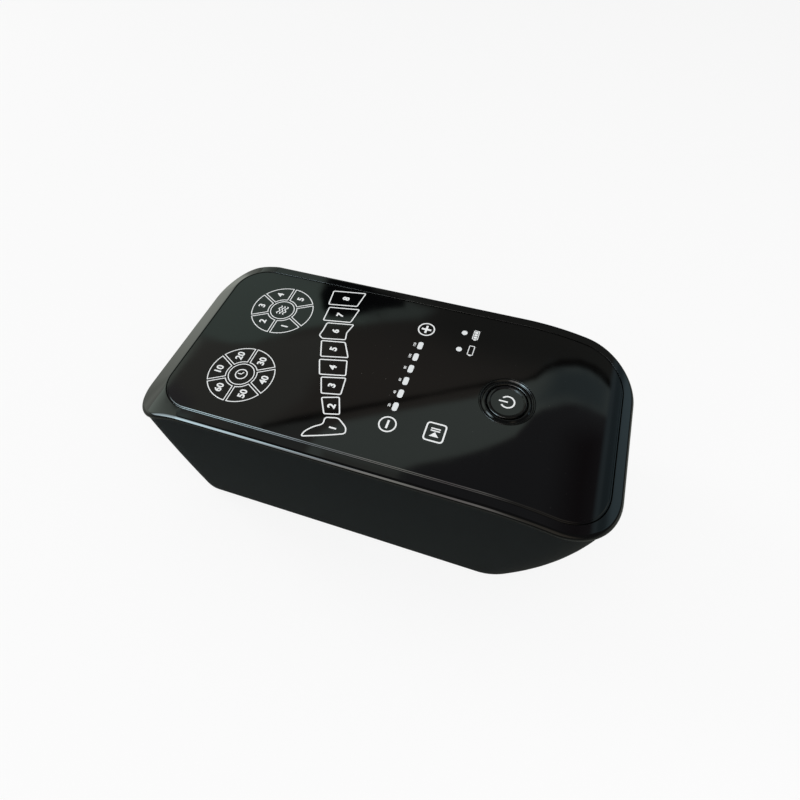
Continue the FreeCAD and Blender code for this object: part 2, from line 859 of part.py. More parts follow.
def battery_cradle():
    """Tray on the tub's floor with a round trough for each cell."""
    half = cell_length / 2
    side = half + cradle_wall
    tray = block(-side, side, cradle_user_y, cradle_far_y, floor_z, floor_z + cradle_height)
    troughs = []
    for i in range(cell_count):
        y = cell_y(i)
        troughs.append(rod(cell_radius, Vec(-half, y, cell_z), Vec(half, y, cell_z)))
    return cut(tray, troughs)


# ---- Air pump ------------------------------------------------------------------------------
def pump_point(y, z=None):
    """Point over the motor's axis."""
    return Vec(pump_x, y, pump_axis_z if z is None else z)


def motor_can():
    """Drawn can, closed at the back, with a seat for the rear bush."""
    front = crank_y - motor_end
    can = rod(motor_radius, pump_point(motor_back_y), pump_point(front))
    hollow = rod(motor_radius - motor_wall, pump_point(motor_back_y + motor_end), pump_point(front))
    seat = rod(bush_radius, pump_point(motor_back_y), pump_point(motor_back_y + motor_end))
    return cut(can, [hollow, seat])


def motor_end_plate():
    """Front plate of the motor, bored for the front bush."""
    plate = rod(motor_radius, pump_point(crank_y - motor_end), pump_point(crank_y))
    return plate.cut(rod(bush_radius, pump_point(crank_y - motor_end), pump_point(crank_y)))


def motor_bushes():
    """Two bronze bushes that carry the shaft."""
    bushes = []
    for y0, y1 in ((motor_back_y, motor_back_y + bush_length), (crank_y - bush_length, crank_y)):
        ring = rod(bush_radius, pump_point(y0), pump_point(y1))
        bushes.append(ring.cut(rod(shaft_radius + running_clearance, pump_point(y0), pump_point(y1))))
    return Part.makeCompound(bushes)


def armature_span():
    """Ends of the armature along Y, in the middle of the motor."""
    middle = motor_back_y + motor_length / 2
    return middle - armature_length / 2, middle + armature_length / 2


def motor_magnets():
    """Two curved magnets bonded inside the can."""
    outer = motor_radius - motor_wall
    y0, y1 = armature_span()
    ring = rod(outer, pump_point(y0), pump_point(y1)).cut(
        rod(outer - magnet_thickness, pump_point(y0), pump_point(y1)))
    gap = math.radians((180 - magnet_angle) / 2)
    rise = 2 * outer * math.tan(gap)
    far = 2 * outer
    wedges = []
    for side in (-1, 1):
        corners = [(0, 0), (side * far, rise), (side * far, -rise)]
        outline = [pump_point(y0) + Vec(x, 0, z) for x, z in corners]
        wedges.append(Part.Face(Part.makePolygon(outline + outline[:1])).extrude(Vec(0, y1 - y0, 0)))
    return cut(ring, wedges)


def motor_rotor():
    """Slotted armature on its shaft, which reaches into the crankcase."""
    y0, y1 = armature_span()
    core = rod(armature_radius, pump_point(y0), pump_point(y1))
    deep = armature_radius - armature_slot_depth
    slots = []
    for i in range(armature_slots):
        slot = block(-armature_slot_width / 2, armature_slot_width / 2, y0, y1, deep, armature_radius + over)
        slot.rotate(Vec(0, 0, 0), Vec(0, 1, 0), 360 * i / armature_slots)
        slot.translate(Vec(pump_x, 0, pump_axis_z))
        slots.append(slot)
    shaft = rod(shaft_radius, pump_point(motor_back_y), pump_point(eccentric_span()[1]))
    return fuse([cut(core, slots), shaft])


def eccentric_span():
    """Ends of the eccentric along Y."""
    start = crank_y + crank_wall + eccentric_gap
    return start, start + eccentric_length


def pump_eccentric():
    """Off-centre disc on the shaft's end."""
    y0, y1 = eccentric_span()
    up = Vec(0, 0, eccentric_throw)
    disc = rod(eccentric_radius, pump_point(y0) + up, pump_point(y1) + up)
    return disc.cut(rod(shaft_radius, pump_point(y0), pump_point(y1)))


def pump_crankcase():
    """Box round the eccentric, bored along the motor's axis and up to the diaphragm."""
    half = crank_width / 2
    box = block(pump_x - half, pump_x + half, crank_y, crank_y + crank_length, pump_axis_z - half, head_z)
    chamber = rod(half - crank_wall, pump_point(crank_y + crank_wall), pump_point(crank_y + crank_length))
    shaft_way = rod(bush_radius + over, pump_point(crank_y), pump_point(crank_y + crank_wall))
    middle = sum(eccentric_span()) / 2
    upward = rod(rod_width, pump_point(middle), pump_point(middle, head_z))
    return cut(box, [chamber, shaft_way, upward])


def connecting_rod():
    """Ring round the eccentric with an arm up to the diaphragm."""
    middle = sum(eccentric_span()) / 2
    y0, y1 = middle - rod_thickness / 2, middle + rod_thickness / 2
    open_radius = eccentric_radius + 2 * eccentric_throw + running_clearance
    ring = rod(open_radius + rod_ring_wall, pump_point(y0), pump_point(y1))
    half = rod_width / 2
    arm = block(pump_x - half, pump_x + half, y0, y1, pump_axis_z + open_radius, head_z)
    return fuse([ring, arm]).cut(rod(open_radius, pump_point(y0), pump_point(y1)))


def pump_diaphragm():
    """Rubber disc clamped between the crankcase and the head."""
    half = crank_width / 2
    z0, z1 = head_z, head_z + diaphragm_thickness
    return block(pump_x - half, pump_x + half, crank_y, crank_y + crank_length, z0, z1)


def nipple(start, along):
    """Solid tube nipple and the tool for its bore."""
    end = start + along * nipple_length
    return rod(nipple_radius, start, end), rod(nipple_bore, start - along * nipple_length, end)


def pump_head():
    """Valve head over the diaphragm, with its outlet nipple."""
    half = crank_width / 2
    z0 = head_z + diaphragm_thickness
    head = block(pump_x - half, pump_x + half, crank_y, crank_y + crank_length, z0, z0 + head_height)
    middle = crank_y + crank_length / 2
    dome = rod(dome_radius, pump_point(middle, z0), pump_point(middle, z0 + dome_depth))
    outlet, bore = nipple(Vec(inlet_nipple_x, crank_y + crank_length, inlet_nipple_z), Vec(0, 1, 0))
    return cut(fuse([head, outlet]), [dome, bore])


def pump_saddle():
    """Rubber saddle on the tub's floor under the motor and the crankcase."""
    half = saddle_width / 2
    y0, y1 = motor_back_y + saddle_inset, crank_y - motor_end
    under_motor = block(pump_x - half, pump_x + half, y0, y1, floor_z, pump_axis_z - motor_radius / 2)
    under_motor = under_motor.cut(rod(motor_radius, pump_point(y0 - over), pump_point(y1 + over)))
    base = pump_axis_z - crank_width / 2
    under_case = block(pump_x - half, pump_x + half, y1, crank_y + crank_length, floor_z, base)
    return fuse([under_motor, under_case])


# ---- Rotary air distributor ----------------------------------------------------------------
def valve_point(y):
    """Point on the distributor's axis."""
    return Vec(0, y, distributor_z)


def outlet_offsets():
    """Places of the outlets round the distributor's axis, across and up."""
    turns = [math.radians(360 * (i + 0.5) / outlet_count) for i in range(outlet_count)]
    return [Vec(outlet_circle * math.cos(a), 0, outlet_circle * math.sin(a)) for a in turns]


def distributor_motor():
    """Geared motor behind the valve body, bored for the valve's shaft."""
    back = distributor_y - distributor_motor_length
    can = rod(distributor_motor_radius, valve_point(back), valve_point(distributor_y))
    blind = back + distributor_motor_back
    bore = valve_shaft_radius + running_clearance
    return can.cut(rod(bore, valve_point(blind), valve_point(distributor_y)))


def distributor_body():
    """Valve body: a square block bored for the disc, with the inlet and sensor nipples."""
    half = distributor_size / 2
    body = block(-half, half, distributor_y, valve_front_y, distributor_z - half, distributor_z + half)
    deep = valve_front_y - valve_disc_thickness - valve_disc_gap
    chamber = rod(valve_disc_radius + valve_disc_gap, valve_point(deep), valve_point(valve_front_y))
    shaft_way = rod(valve_shaft_radius + running_clearance, valve_point(distributor_y), valve_point(deep))
    inlet, inlet_bore = nipple(Vec(inlet_nipple_x, distributor_y, inlet_nipple_z), Vec(0, -1, 0))
    sense, sense_bore = nipple(Vec(inlet_offset, distributor_y, sensor_nipple_z), Vec(0, -1, 0))
    return cut(fuse([body, inlet, sense]), [chamber, shaft_way, inlet_bore, sense_bore])


def distributor_rotor():
    """Valve disc with one port, on the shaft from the geared motor."""
    front = valve_front_y - valve_disc_gap
    back = front - valve_disc_thickness + valve_disc_gap
    disc = rod(valve_disc_radius, valve_point(back), valve_point(front))
    blind = distributor_y - distributor_motor_length + distributor_motor_back
    shaft = rod(valve_shaft_radius, valve_point(blind + valve_disc_gap), valve_point(back))
    port = outlet_offsets()[0]
    return fuse([disc, shaft]).cut(rod(nipple_radius, valve_point(back) + port, valve_point(front) + port))


def distributor_cover():
    """Front plate with eight outlet nipples round its middle."""
    half = distributor_size / 2
    plate = block(-half, half, valve_front_y, cover_front_y, distributor_z - half, distributor_z + half)
    shapes, tools = [plate], []
    for offset in outlet_offsets():
        outlet, bore = nipple(valve_point(cover_front_y) + offset, Vec(0, 1, 0))
        shapes.append(outlet)
        tools.append(bore)
    return cut(fuse(shapes), tools)


def distributor_bracket():
    """Bracket from the tub's floor to the underside of the valve body."""
    half = bracket_width / 2
    top = distributor_z - distributor_size / 2
    post = block(-half, half, distributor_y, valve_front_y, floor_z, top)
    leg, rail = bracket_leg, bracket_rail
    window = block(-half + leg, half - leg, distributor_y, valve_front_y, floor_z + rail, top - rail)
    return post.cut(window)


# ---- Hose sockets, manifold and tubes ------------------------------------------------------
def outlet_manifold():
    """Block behind both sockets that shares the eight lines between them."""
    half_x, half_z = manifold_width / 2, manifold_height / 2
    plate = block(-half_x, half_x, manifold_back_y, socket_back_y,
                  distributor_z - half_z, distributor_z + half_z)
    shapes, tools = [plate], []
    for offset in outlet_offsets():
        inlet, bore = nipple(valve_point(manifold_back_y) + offset, Vec(0, -1, 0))
        shapes.append(inlet)
        tools.append(bore)
    return cut(fuse(shapes), tools)


def outlet_tubes():
    """Eight soft tubes from the distributor to the manifold."""
    tubes = []
    for offset in outlet_offsets():
        start, end = valve_point(cover_front_y) + offset, valve_point(manifold_back_y) + offset
        tubes.append(rod(tube_radius, start, end).cut(rod(nipple_radius, start, end)))
    return Part.makeCompound(tubes)


def supply_tube():
    """Soft tube from the pump's head to the distributor."""
    start = Vec(inlet_nipple_x, crank_y + crank_length, inlet_nipple_z)
    end = Vec(inlet_nipple_x, distributor_y, inlet_nipple_z)
    return rod(tube_radius, start, end).cut(rod(nipple_radius, start, end))


def sensor_tube():
    """Soft tube from the pressure sensor up and along to the distributor."""
    x, y = sensor_spot()
    route = [
        Vec(x, y, main_top + sensor_height),
        Vec(x, y, sensor_nipple_z),
        Vec(x, distributor_y, sensor_nipple_z),
    ]
    return tube(rounded_path(route, sensor_tube_bend), tube_radius, nipple_radius)


def socket_centre(side):
    """Middle of a socket in the end wall."""
    return side * socket_x, distributor_z


def air_socket(side):
    """Eight-way hose socket: flange on the curved wall, recess and two rows of air ways."""
    x, z = socket_centre(side)
    face = far_wall_y(z + socket_flange_height / 2) + socket_proud
    flange = end_bar(x, z, socket_flange_width, socket_flange_height, socket_flange_radius,
                     socket_back_y + tub_wall, face)
    flange = flange.cut(tub_form(0, foot_stand))
    body = end_bar(x, z, socket_body_width, socket_body_height, socket_body_radius, socket_back_y, face)
    recess_floor = face - socket_recess_depth
    tools = [end_bar(x, z, socket_recess_width, socket_recess_height, socket_recess_radius,
                     recess_floor, face + over)]
    for row in range(socket_rows):
        hole_z = z + (row - (socket_rows - 1) / 2) * socket_row_pitch
        for column in range(socket_columns):
            hole_x = x + (column - (socket_columns - 1) / 2) * socket_bore_pitch
            start = Vec(hole_x, socket_back_y, hole_z)
            tools.append(rod(socket_bore_radius, start, Vec(hole_x, recess_floor + over, hole_z)))
    return cut(fuse([flange, body]), tools)


def dc_inlet():
    """Barrel inlet for the charger, low in the end wall."""
    face = far_wall_y(inlet_z + inlet_flange_radius) + inlet_proud
    flange = rod(inlet_flange_radius, Vec(0, face - inlet_length, inlet_z), Vec(0, face, inlet_z))
    flange = flange.cut(tub_form(0, foot_stand))
    body = rod(inlet_body_radius, Vec(0, face - inlet_length, inlet_z), Vec(0, face, inlet_z))
    floor = face - inlet_bore_depth
    bore = rod(inlet_bore_radius, Vec(0, floor, inlet_z), Vec(0, face, inlet_z))
    pin = rod(inlet_pin_radius, Vec(0, floor, inlet_z), Vec(0, floor + inlet_pin_length, inlet_z))
    return fuse([fuse([flange, body]).cut(bore), pin])


# ---- Main board ----------------------------------------------------------------------------
def main_screw_spots():
    """Plan positions of the main board's screws."""
    xs = (main_x0 + main_screw_inset, main_x1 - main_screw_inset)
    ys = (main_y0 + main_screw_inset, main_y1 - main_screw_inset)
    return [(x, y) for y in ys for x in xs]


def main_board():
    """Control board on four pillars of the tub."""
    board = block(main_x0, main_x1, main_y0, main_y1, main_z, main_top)
    return cut(board, screw_tools(main_screw_spots(), main_z, main_top))


def board_screws():
    """Four screws down into the pillars."""
    return Part.makeCompound([small_screw(x, y, main_top, -1) for x, y in main_screw_spots()])


def on_board(share_x, share_y):
    """Plan position on the main board, as shares of its sides."""
    return main_x0 + (main_x1 - main_x0) * share_x, main_y0 + (main_y1 - main_y0) * share_y


def board_chips():
    """Controller, motor driver, charger chip and the two connectors."""
    chips = []
    for share_x, share_y, size_x, size_y, tall in chip_places:
        x, y = on_board(share_x, share_y)
        half_x, half_y = size_x / 2, size_y / 2
        chips.append(block(x - half_x, x + half_x, y - half_y, y + half_y, main_top, main_top + tall))
    x, y = ribbon_foot()
    half_x, half_y = ribbon_header_depth / 2, ribbon_width / 2 + ribbon_header_end
    chips.append(block(x - half_x, x + half_x, y - half_y, y + half_y, main_top, ribbon_low()))
    return Part.makeCompound(chips)


def board_capacitors():
    """Row of reservoir capacitors."""
    cans = []
    share_x, share_y = capacitor_shares
    for i in range(capacitor_count):
        x, y = on_board(share_x + capacitor_step * i, share_y)
        cans.append(rod(capacitor_radius, Vec(x, y, main_top), Vec(x, y, main_top + capacitor_height)))
    return Part.makeCompound(cans)


def buzzer():
    """Round sounder with its sound hole."""
    x, y = on_board(*buzzer_shares)
    can = rod(buzzer_radius, Vec(x, y, main_top), Vec(x, y, main_top + buzzer_height))
    top = Vec(x, y, main_top + buzzer_height)
    return can.cut(rod(buzzer_hole_radius, top - Vec(0, 0, buzzer_hole_depth), top))


def sensor_spot():
    """Plan position of the pressure sensor."""
    return inlet_offset, main_y1 - sensor_inset


def pressure_sensor():
    """Pressure sensor with its nipple upward."""
    x, y = sensor_spot()
    half = sensor_size / 2
    body = block(x - half, x + half, y - half, y + half / 2, main_top, main_top + sensor_height)
    stem, bore = nipple(Vec(x, y, main_top + sensor_height), Vec(0, 0, 1))
    return cut(fuse([body, stem]), [bore])


def ribbon_foot():
    """Plan position of the ribbon's connector on the main board."""
    return display_width / 2 - ribbon_inset, (main_y0 + main_y1) / 2


def ribbon_low():
    """Top of that connector."""
    return main_top + ribbon_header_height


def ribbon_cable():
    """Flat cable from the main board up to the display board, with some slack."""
    x, y = ribbon_foot()
    low, high = ribbon_low(), board_z - board_thickness
    rise = (high - low) / 6
    route = [
        Vec(x, y, low),
        Vec(x, y, low + rise),
        Vec(x - ribbon_bow, y, low + 3 * rise),
        Vec(x, y, high - rise),
        Vec(x, y, high),
    ]
    path = rounded_path(route, ribbon_bow * 2)
    half_x, half_y = ribbon_thickness / 2, ribbon_width / 2
    signs = ((-1, -1), (1, -1), (1, 1), (-1, 1))
    corners = [Vec(x + sx * half_x, y + sy * half_y, low) for sx, sy in signs]
    return path.makePipeShell([Part.makePolygon(corners + corners[:1])], True, False)


# ---- Write the pieces ----------------------------------------------------------------------
def pieces():
    """Every piece by name."""
    made = {
        "top_cover": top_cover(),
        "control_panel": control_panel(),
        "lower_housing": lower_housing(),
        "power_bezel": power_bezel(),
        "power_button": power_button(),
        "switch_plunger": switch_plunger(),
        "power_switch": power_switch(),
        "indicator_leds": indicator_leds(),
        "display_board": display_board(),
        "display_screws": display_screws(),
        "touch_film": touch_film(),
        "case_screws": case_screws(),
        "battery_cradle": battery_cradle(),
        "motor_can": motor_can(),
        "motor_end_plate": motor_end_plate(),
        "motor_bushes": motor_bushes(),
        "motor_magnets": motor_magnets(),
        "motor_rotor": motor_rotor(),
        "pump_eccentric": pump_eccentric(),
        "pump_crankcase": pump_crankcase(),
        "connecting_rod": connecting_rod(),
        "pump_diaphragm": pump_diaphragm(),
        "pump_head": pump_head(),
        "pump_saddle": pump_saddle(),
        "distributor_motor": distributor_motor(),
        "distributor_body": distributor_body(),
        "distributor_rotor": distributor_rotor(),
        "distributor_cover": distributor_cover(),
        "distributor_bracket": distributor_bracket(),
        "outlet_manifold": outlet_manifold(),
        "outlet_tubes": outlet_tubes(),
        "supply_tube": supply_tube(),
        "sensor_tube": sensor_tube(),
        "air_socket_left": air_socket(-1),
        "air_socket_right": air_socket(1),
        "dc_inlet": dc_inlet(),
        "main_board": main_board(),
        "board_screws": board_screws(),
        "board_chips": board_chips(),
        "board_capacitors": board_capacitors(),
        "buzzer": buzzer(),
        "pressure_sensor": pressure_sensor(),
        "ribbon_cable": ribbon_cable(),
        "battery_light_low": battery_light(battery_light_x[0]),
        "battery_light_full": battery_light(battery_light_x[1]),
    }
    for number, (x, y) in enumerate(light_spots(), 1):
        made[f"pressure_light_{number}"] = pressure_light(x, y)
    for number, (x, y) in enumerate(foot_spots(), 1):
        made[f"foot_{number}"] = foot(x, y)
    for number in range(cell_count):
        made[f"battery_cell_{number + 1}"] = battery_cell(number)
    return made


def main():
    os.makedirs("parts", exist_ok=True)
    for name, shape in pieces().items():
        shape.exportStep(f"parts/{name}.step")
        print(name, len(shape.Solids), "solids", round(shape.Volume), "mm3")


main()
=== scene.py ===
# %% [markdown]
# # An air pump for leg sleeves, dressed for its portrait
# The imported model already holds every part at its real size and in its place. This lesson adds what the
# eye reads first: polished and satin black mouldings with true rounded edges, the printed touch keys,
# the milky light guides, and a plain studio that lets the polish show.
# The frame comes first, because every later size is read from it. It is in metres; the lesson works in
# millimetres and turns back to metres only when a mesh is finished.

# %% Load the frame
import json
import math

import bmesh
import bpy
import numpy as np
from mathutils import Matrix, Vector


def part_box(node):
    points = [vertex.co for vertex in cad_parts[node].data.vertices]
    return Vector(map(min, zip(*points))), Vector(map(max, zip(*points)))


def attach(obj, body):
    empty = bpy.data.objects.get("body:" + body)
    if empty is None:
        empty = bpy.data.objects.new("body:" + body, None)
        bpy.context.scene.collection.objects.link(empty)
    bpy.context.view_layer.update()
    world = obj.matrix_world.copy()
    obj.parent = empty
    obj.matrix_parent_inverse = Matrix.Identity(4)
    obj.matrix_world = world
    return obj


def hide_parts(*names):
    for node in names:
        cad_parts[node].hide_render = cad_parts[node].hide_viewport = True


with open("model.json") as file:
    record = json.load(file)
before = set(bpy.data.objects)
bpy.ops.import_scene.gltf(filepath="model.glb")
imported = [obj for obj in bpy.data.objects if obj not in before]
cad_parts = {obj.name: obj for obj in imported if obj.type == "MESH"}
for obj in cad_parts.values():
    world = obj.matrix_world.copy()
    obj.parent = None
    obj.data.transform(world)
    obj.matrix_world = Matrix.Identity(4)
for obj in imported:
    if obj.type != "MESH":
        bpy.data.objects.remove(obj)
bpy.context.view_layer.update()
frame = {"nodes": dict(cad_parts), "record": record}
MM = 0.001


def millimetres(node):
    """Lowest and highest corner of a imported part, in millimetres."""
    low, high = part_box(node)
    return low / MM, high / MM


def middle(node):
    """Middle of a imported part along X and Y, in millimetres."""
    low, high = millimetres(node)
    return (low.x + high.x) / 2, (low.y + high.y) / 2


def linked(name, data):
    """New object of this data, standing in the scene."""
    made = bpy.data.objects.new(name, data)
    bpy.context.scene.collection.objects.link(made)
    return made


def dress(piece, body, slot, *nodes):
    """Lets a piece ride on its body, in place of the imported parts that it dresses."""
    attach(piece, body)
    if nodes:
        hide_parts(*nodes)
    print(piece.name, "has", len(piece.data.polygons), "faces")


cover_low, cover_high = millimetres("top_cover")
print("cover", [round(v, 2) for v in cover_low], [round(v, 2) for v in cover_high])

# %% [markdown]
# ## The camera
# The pump is seen from above its left side, with the user's end to the right and a little roll. Such a view
# can be set by aiming at a point and rolling, but three direction vectors say it in one step: they are
# the columns of the camera's rotation.

# %% Camera
camera_place = Vector((-158.96, -68.46, 312.38)) * MM
camera_right = Vector((0.31856, -0.94742, -0.03041))
camera_up = Vector((0.77807, 0.24302, 0.57927))
camera_back = Vector((-0.54142, -0.20819, 0.81457))

lens = bpy.data.cameras.new("studio_camera")
lens.lens = 23.508
lens.sensor_width = 36.0
lens.clip_start = 0.01
camera = linked("studio_camera", lens)
turn = Matrix((camera_right, camera_up, camera_back)).transposed()
camera.matrix_world = Matrix.Translation(camera_place) @ turn.to_4x4()
bpy.context.scene.camera = camera
bpy.context.scene.view_settings.view_transform = "Standard"
print("camera stands", round(camera_place.length, 3), "m from the origin")

# %% [markdown]
# ## Shader maths as plain expressions
# A finish is mostly arithmetic on textures. Adding each Math node by hand hides that, so one small class
# wraps a socket and lets Python's operators add the nodes. Numbers go through Math nodes, colours
# through Mix, and every other node comes from one method, which sets its settings before its inputs.

# %% Signal
class Signal:
    """One value running through a node tree. Operators on it add Math nodes."""

    def __init__(self, wiring, socket):
        self.wiring = wiring
        self.socket = socket

    def maths(self, operation, first, second):
        return self.wiring.node("ShaderNodeMath", {"operation": operation}, {0: first, 1: second})

    def __add__(self, other):
        return self.maths("ADD", self, other)

    def __rsub__(self, other):
        return self.maths("SUBTRACT", other, self)

    def __mul__(self, other):
        return self.maths("MULTIPLY", self, other)

    __radd__ = __add__
    __rmul__ = __mul__

    def larger(self, other):
        """The larger of two values."""
        return self.maths("MAXIMUM", self, other)

    def step(self, low, high):
        """Smooth step from 0 at low to 1 at high."""
        inputs = {"Value": self, "From Min": low, "From Max": high}
        return self.wiring.node("ShaderNodeMapRange", {"interpolation_type": "SMOOTHSTEP"}, inputs)


class Wiring:
    """A node tree, written as expressions."""

    def __init__(self, tree):
        self.tree = tree

    def fill(self, socket, value):
        """Links a signal to a socket, or sets a plain value on it."""
        if isinstance(value, Signal):
            self.tree.links.new(value.socket, socket)
        else:
            socket.default_value = value

    def node(self, kind, settings=None, inputs=None, output=0):
        made = self.tree.nodes.new(kind)
        for setting, value in (settings or {}).items():
            setattr(made, setting, value)
        for socket, value in (inputs or {}).items():
            self.fill(made.inputs[socket], value)
        return Signal(self, made.outputs[output])

    def background_rays(self):
        """1 for the rays that see a background straight or in a mirror or glass, 0 for those that light."""
        rays = self.node("ShaderNodeLightPath").socket.node.outputs
        seen = Signal(self, rays["Is Camera Ray"])
        for kind in ("Is Glossy Ray", "Is Transmission Ray"):
            seen = seen.larger(Signal(self, rays[kind]))
        return seen


# %% Finish
class Finish(Wiring):
    """A material, whose expressions end in the sockets of its shader."""

    def __init__(self, name, **constants):
        self.material = bpy.data.materials.new(name)
        self.material.use_nodes = True
        super().__init__(self.material.node_tree)
        self.shader = self.tree.nodes["Principled BSDF"]
        for socket, value in constants.items():
            self.shader.inputs[socket.replace("_", " ")].default_value = value

    def connect(self, socket, value):
        """Links a signal to a socket of the shader, or sets a plain value on it."""
        self.fill(self.shader.inputs[socket], value)

    def colour(self, factor, first, second):
        """Blend of two colours."""
        return self.node("ShaderNodeMix", {"data_type": "RGBA"}, {0: factor, 6: first, 7: second}, 2)

    def place(self):
        """Where the surface is, in millimetres."""
        spot = self.node("ShaderNodeTexCoord", output="Object")
        return self.node("ShaderNodeVectorMath", {"operation": "SCALE"}, {0: spot, "Scale": 1 / MM})

    def noise(self, size, detail, rough=0.5):
        """Cloudy noise whose blots are about this many millimetres across."""
        inputs = {"Vector": self.place(), "Scale": 1.0 / size, "Detail": detail, "Roughness": rough}
        return self.node("ShaderNodeTexNoise", None, inputs)

    def specks(self, spacing, radius):
        """Round dust specks: 1 on a speck. The spacing and the radius are in millimetres."""
        cell = self.node("ShaderNodeTexVoronoi", None, {"Vector": self.place(), "Scale": 1.0 / spacing})
        chance = self.noise(spacing * 3.0, 1.0)
        return (1.0 - (cell * spacing).step(radius * 0.6, radius)) * chance.step(0.45, 0.6)

    def bump(self, height, distance):
        """Bends the surface's shading by a height that swings by this distance, in millimetres."""
        inputs = {"Height": height, "Distance": distance * MM, "Strength": 1.0}
        self.connect("Normal", self.node("ShaderNodeBump", None, inputs))


def grey(level, warm=0.0):
    """Opaque colour of one lightness, a little warmer or cooler."""
    return (level * (1 + warm), level, level * (1 - warm), 1.0)


# %% [markdown]
# ## Polished black mouldings
# The cover, the touch panel, the bezel and the cap are piano black: a nearly black plastic with a mirror
# skin. A mirror on its own looks like a drawing, so the polish is broken as on a real one: broad
# finger smudges raise the roughness, a very shallow waviness from moulding bends what is mirrored, and
# a few specks of dust catch the light.

# %% Gloss finish
def polished(name, level, smudge, dust, wave):
    """Piano black. Smudge is how much roughness a finger mark adds; wave is in millimetres."""
    finish = Finish(name, Specular_IOR_Level=0.5, IOR=1.5)
    marks = finish.noise(34.0, 5.0, 0.62).step(0.46, 0.78)
    wipes = finish.noise(7.0, 2.0).step(0.4, 0.8)
    finish.connect("Roughness", 0.045 + marks * smudge + marks * wipes * smudge)
    speck = finish.specks(5.5, 0.13).larger(finish.specks(2.1, 0.05)) * dust
    finish.connect("Base Color", finish.colour(speck, grey(level, -0.04), grey(0.32, 0.05)))
    finish.bump(finish.noise(19.0, 1.0), wave)
    return finish.material


gloss_cover = polished("piano_black_cover", 0.0021, 0.045, 0.5, 0.012)
gloss_panel = polished("piano_black_panel", 0.0016, 0.03, 0.6, 0.010)
gloss_button = polished("piano_black_button", 0.0024, 0.03, 0.35, 0.004)

# %% [markdown]
# ## Satin, printed and inner finishes
# The tub is the same plastic, but its mould was spark eroded: a fine even grain, no mirror. Prints are a
# flat white ink. The inner parts are only seen where a slot or a hole opens on them, yet each gets the
# finish that its stuff has, because the model is also kept in pieces.

# %% Plain finishes with grain
def grained(name, colour, rough, grain_size, grain_depth, spread=0.12, specular=0.5, metal=0.0):
    """One stuff with an even grain. Spread is how far its colour wanders, as a share."""
    finish = Finish(name, Specular_IOR_Level=specular, Metallic=metal)
    darker = tuple(c * (1 - spread) for c in colour[:3]) + (1.0,)
    lighter = tuple(min(c * (1 + spread), 1.0) for c in colour[:3]) + (1.0,)
    finish.connect("Base Color", finish.colour(finish.noise(11.0, 4.0), darker, lighter))
    grain = finish.noise(grain_size, 2.0)
    finish.connect("Roughness", rough * (0.86 + grain * 0.28))
    finish.bump(grain, grain_depth)
    return finish.material


satin_tub = grained("satin_black_tub", (0.0060, 0.0070, 0.0075), 0.46, 0.42, 0.012, 0.1, 0.06)
satin_socket = grained("satin_black_socket", (0.0110, 0.0118, 0.0125), 0.36, 0.3, 0.008, 0.1, 0.4)
print_ink = grained("printed_white_ink", (0.80, 0.82, 0.82), 0.30, 0.6, 0.002, 0.03)
milky_guide = grained("milky_light_guide", (0.72, 0.75, 0.76), 0.22, 0.8, 0.002, 0.04)
foot_rubber = grained("foot_rubber", (0.020, 0.020, 0.021), 0.72, 0.5, 0.02, 0.15, 0.3)
bright_pin = grained("nickel_pin", (0.62, 0.60, 0.55), 0.22, 0.4, 0.002, 0.05, 0.5, 1.0)

# %% Finishes of the parts inside
inner_finishes = {
    "gloss_black": gloss_cover,
    "housing_black": satin_tub,
    "light_white": milky_guide,
    "rubber_black": foot_rubber,
    "steel": grained("zinc_plated_steel", (0.55, 0.56, 0.57), 0.30, 0.5, 0.004, 0.06, 0.5, 1.0),
    "bronze": grained("sintered_bronze", (0.52, 0.34, 0.15), 0.42, 0.25, 0.01, 0.1, 0.5, 1.0),
    "magnet_grey": grained("ferrite", (0.075, 0.075, 0.08), 0.55, 0.3, 0.012, 0.1),
    "board_green": grained("solder_mask", (0.012, 0.13, 0.05), 0.28, 1.2, 0.004, 0.1),
    "part_black": grained("moulded_component", (0.02, 0.02, 0.021), 0.5, 0.25, 0.008),
    "cell_blue": grained("shrink_sleeve", (0.03, 0.16, 0.44), 0.26, 3.0, 0.02, 0.05),
    "nylon_white": grained("natural_nylon", (0.74, 0.73, 0.68), 0.42, 0.5, 0.008, 0.04),
    "silicone_clear": grained("milky_silicone", (0.66, 0.69, 0.68), 0.38, 0.8, 0.006, 0.04),
    "film_amber": grained("polyimide_film", (0.50, 0.24, 0.05), 0.24, 1.5, 0.004, 0.06),
}
for part in frame["record"]["subparts"]:
    mesh = frame["nodes"][part["node"]].data
    mesh.materials.clear()
    mesh.materials.append(inner_finishes[part["material_slot"]])
print(len(frame["nodes"]), "packed parts given their finish")

# %% [markdown]
# ## The top
# The top is flat, rolls down towards the user on a large radius, and has a bevel at the far end that
# starts from the panel's edge, follows its round corners and fades out along the sides. Cover,
# panel, bezel and tub all follow that one surface, so it is a function here. Its slopes are
# needed too, because they turn the surface normals.

# %% Height and slopes of the top
ink_proud = 0.03
top_z = cover_high.z - ink_proud
end_y = cover_high.y
half_width = cover_high.x
roll_length = 66.5
roll_start = -end_y + roll_length
roll_radius = 148.0
panel_low, panel_high = millimetres("control_panel")
panel_corner = 18.0
groove = 0.35
far_groove = 0.05
recess_edge = 0.12
bevel_x = panel_high.x - panel_corner
bevel_y = panel_high.y - panel_corner
bevel_radius = panel_corner + far_groove + recess_edge
bevel_slope = 0.798
fold_soft = 0.35
fade_soft = 0.08


def eased(value, soft):
    """A value that leaves 0 without a corner, and its rate of change."""
    grown = value + soft
    return value**2 / grown, value * (value + 2 * soft) / grown**2


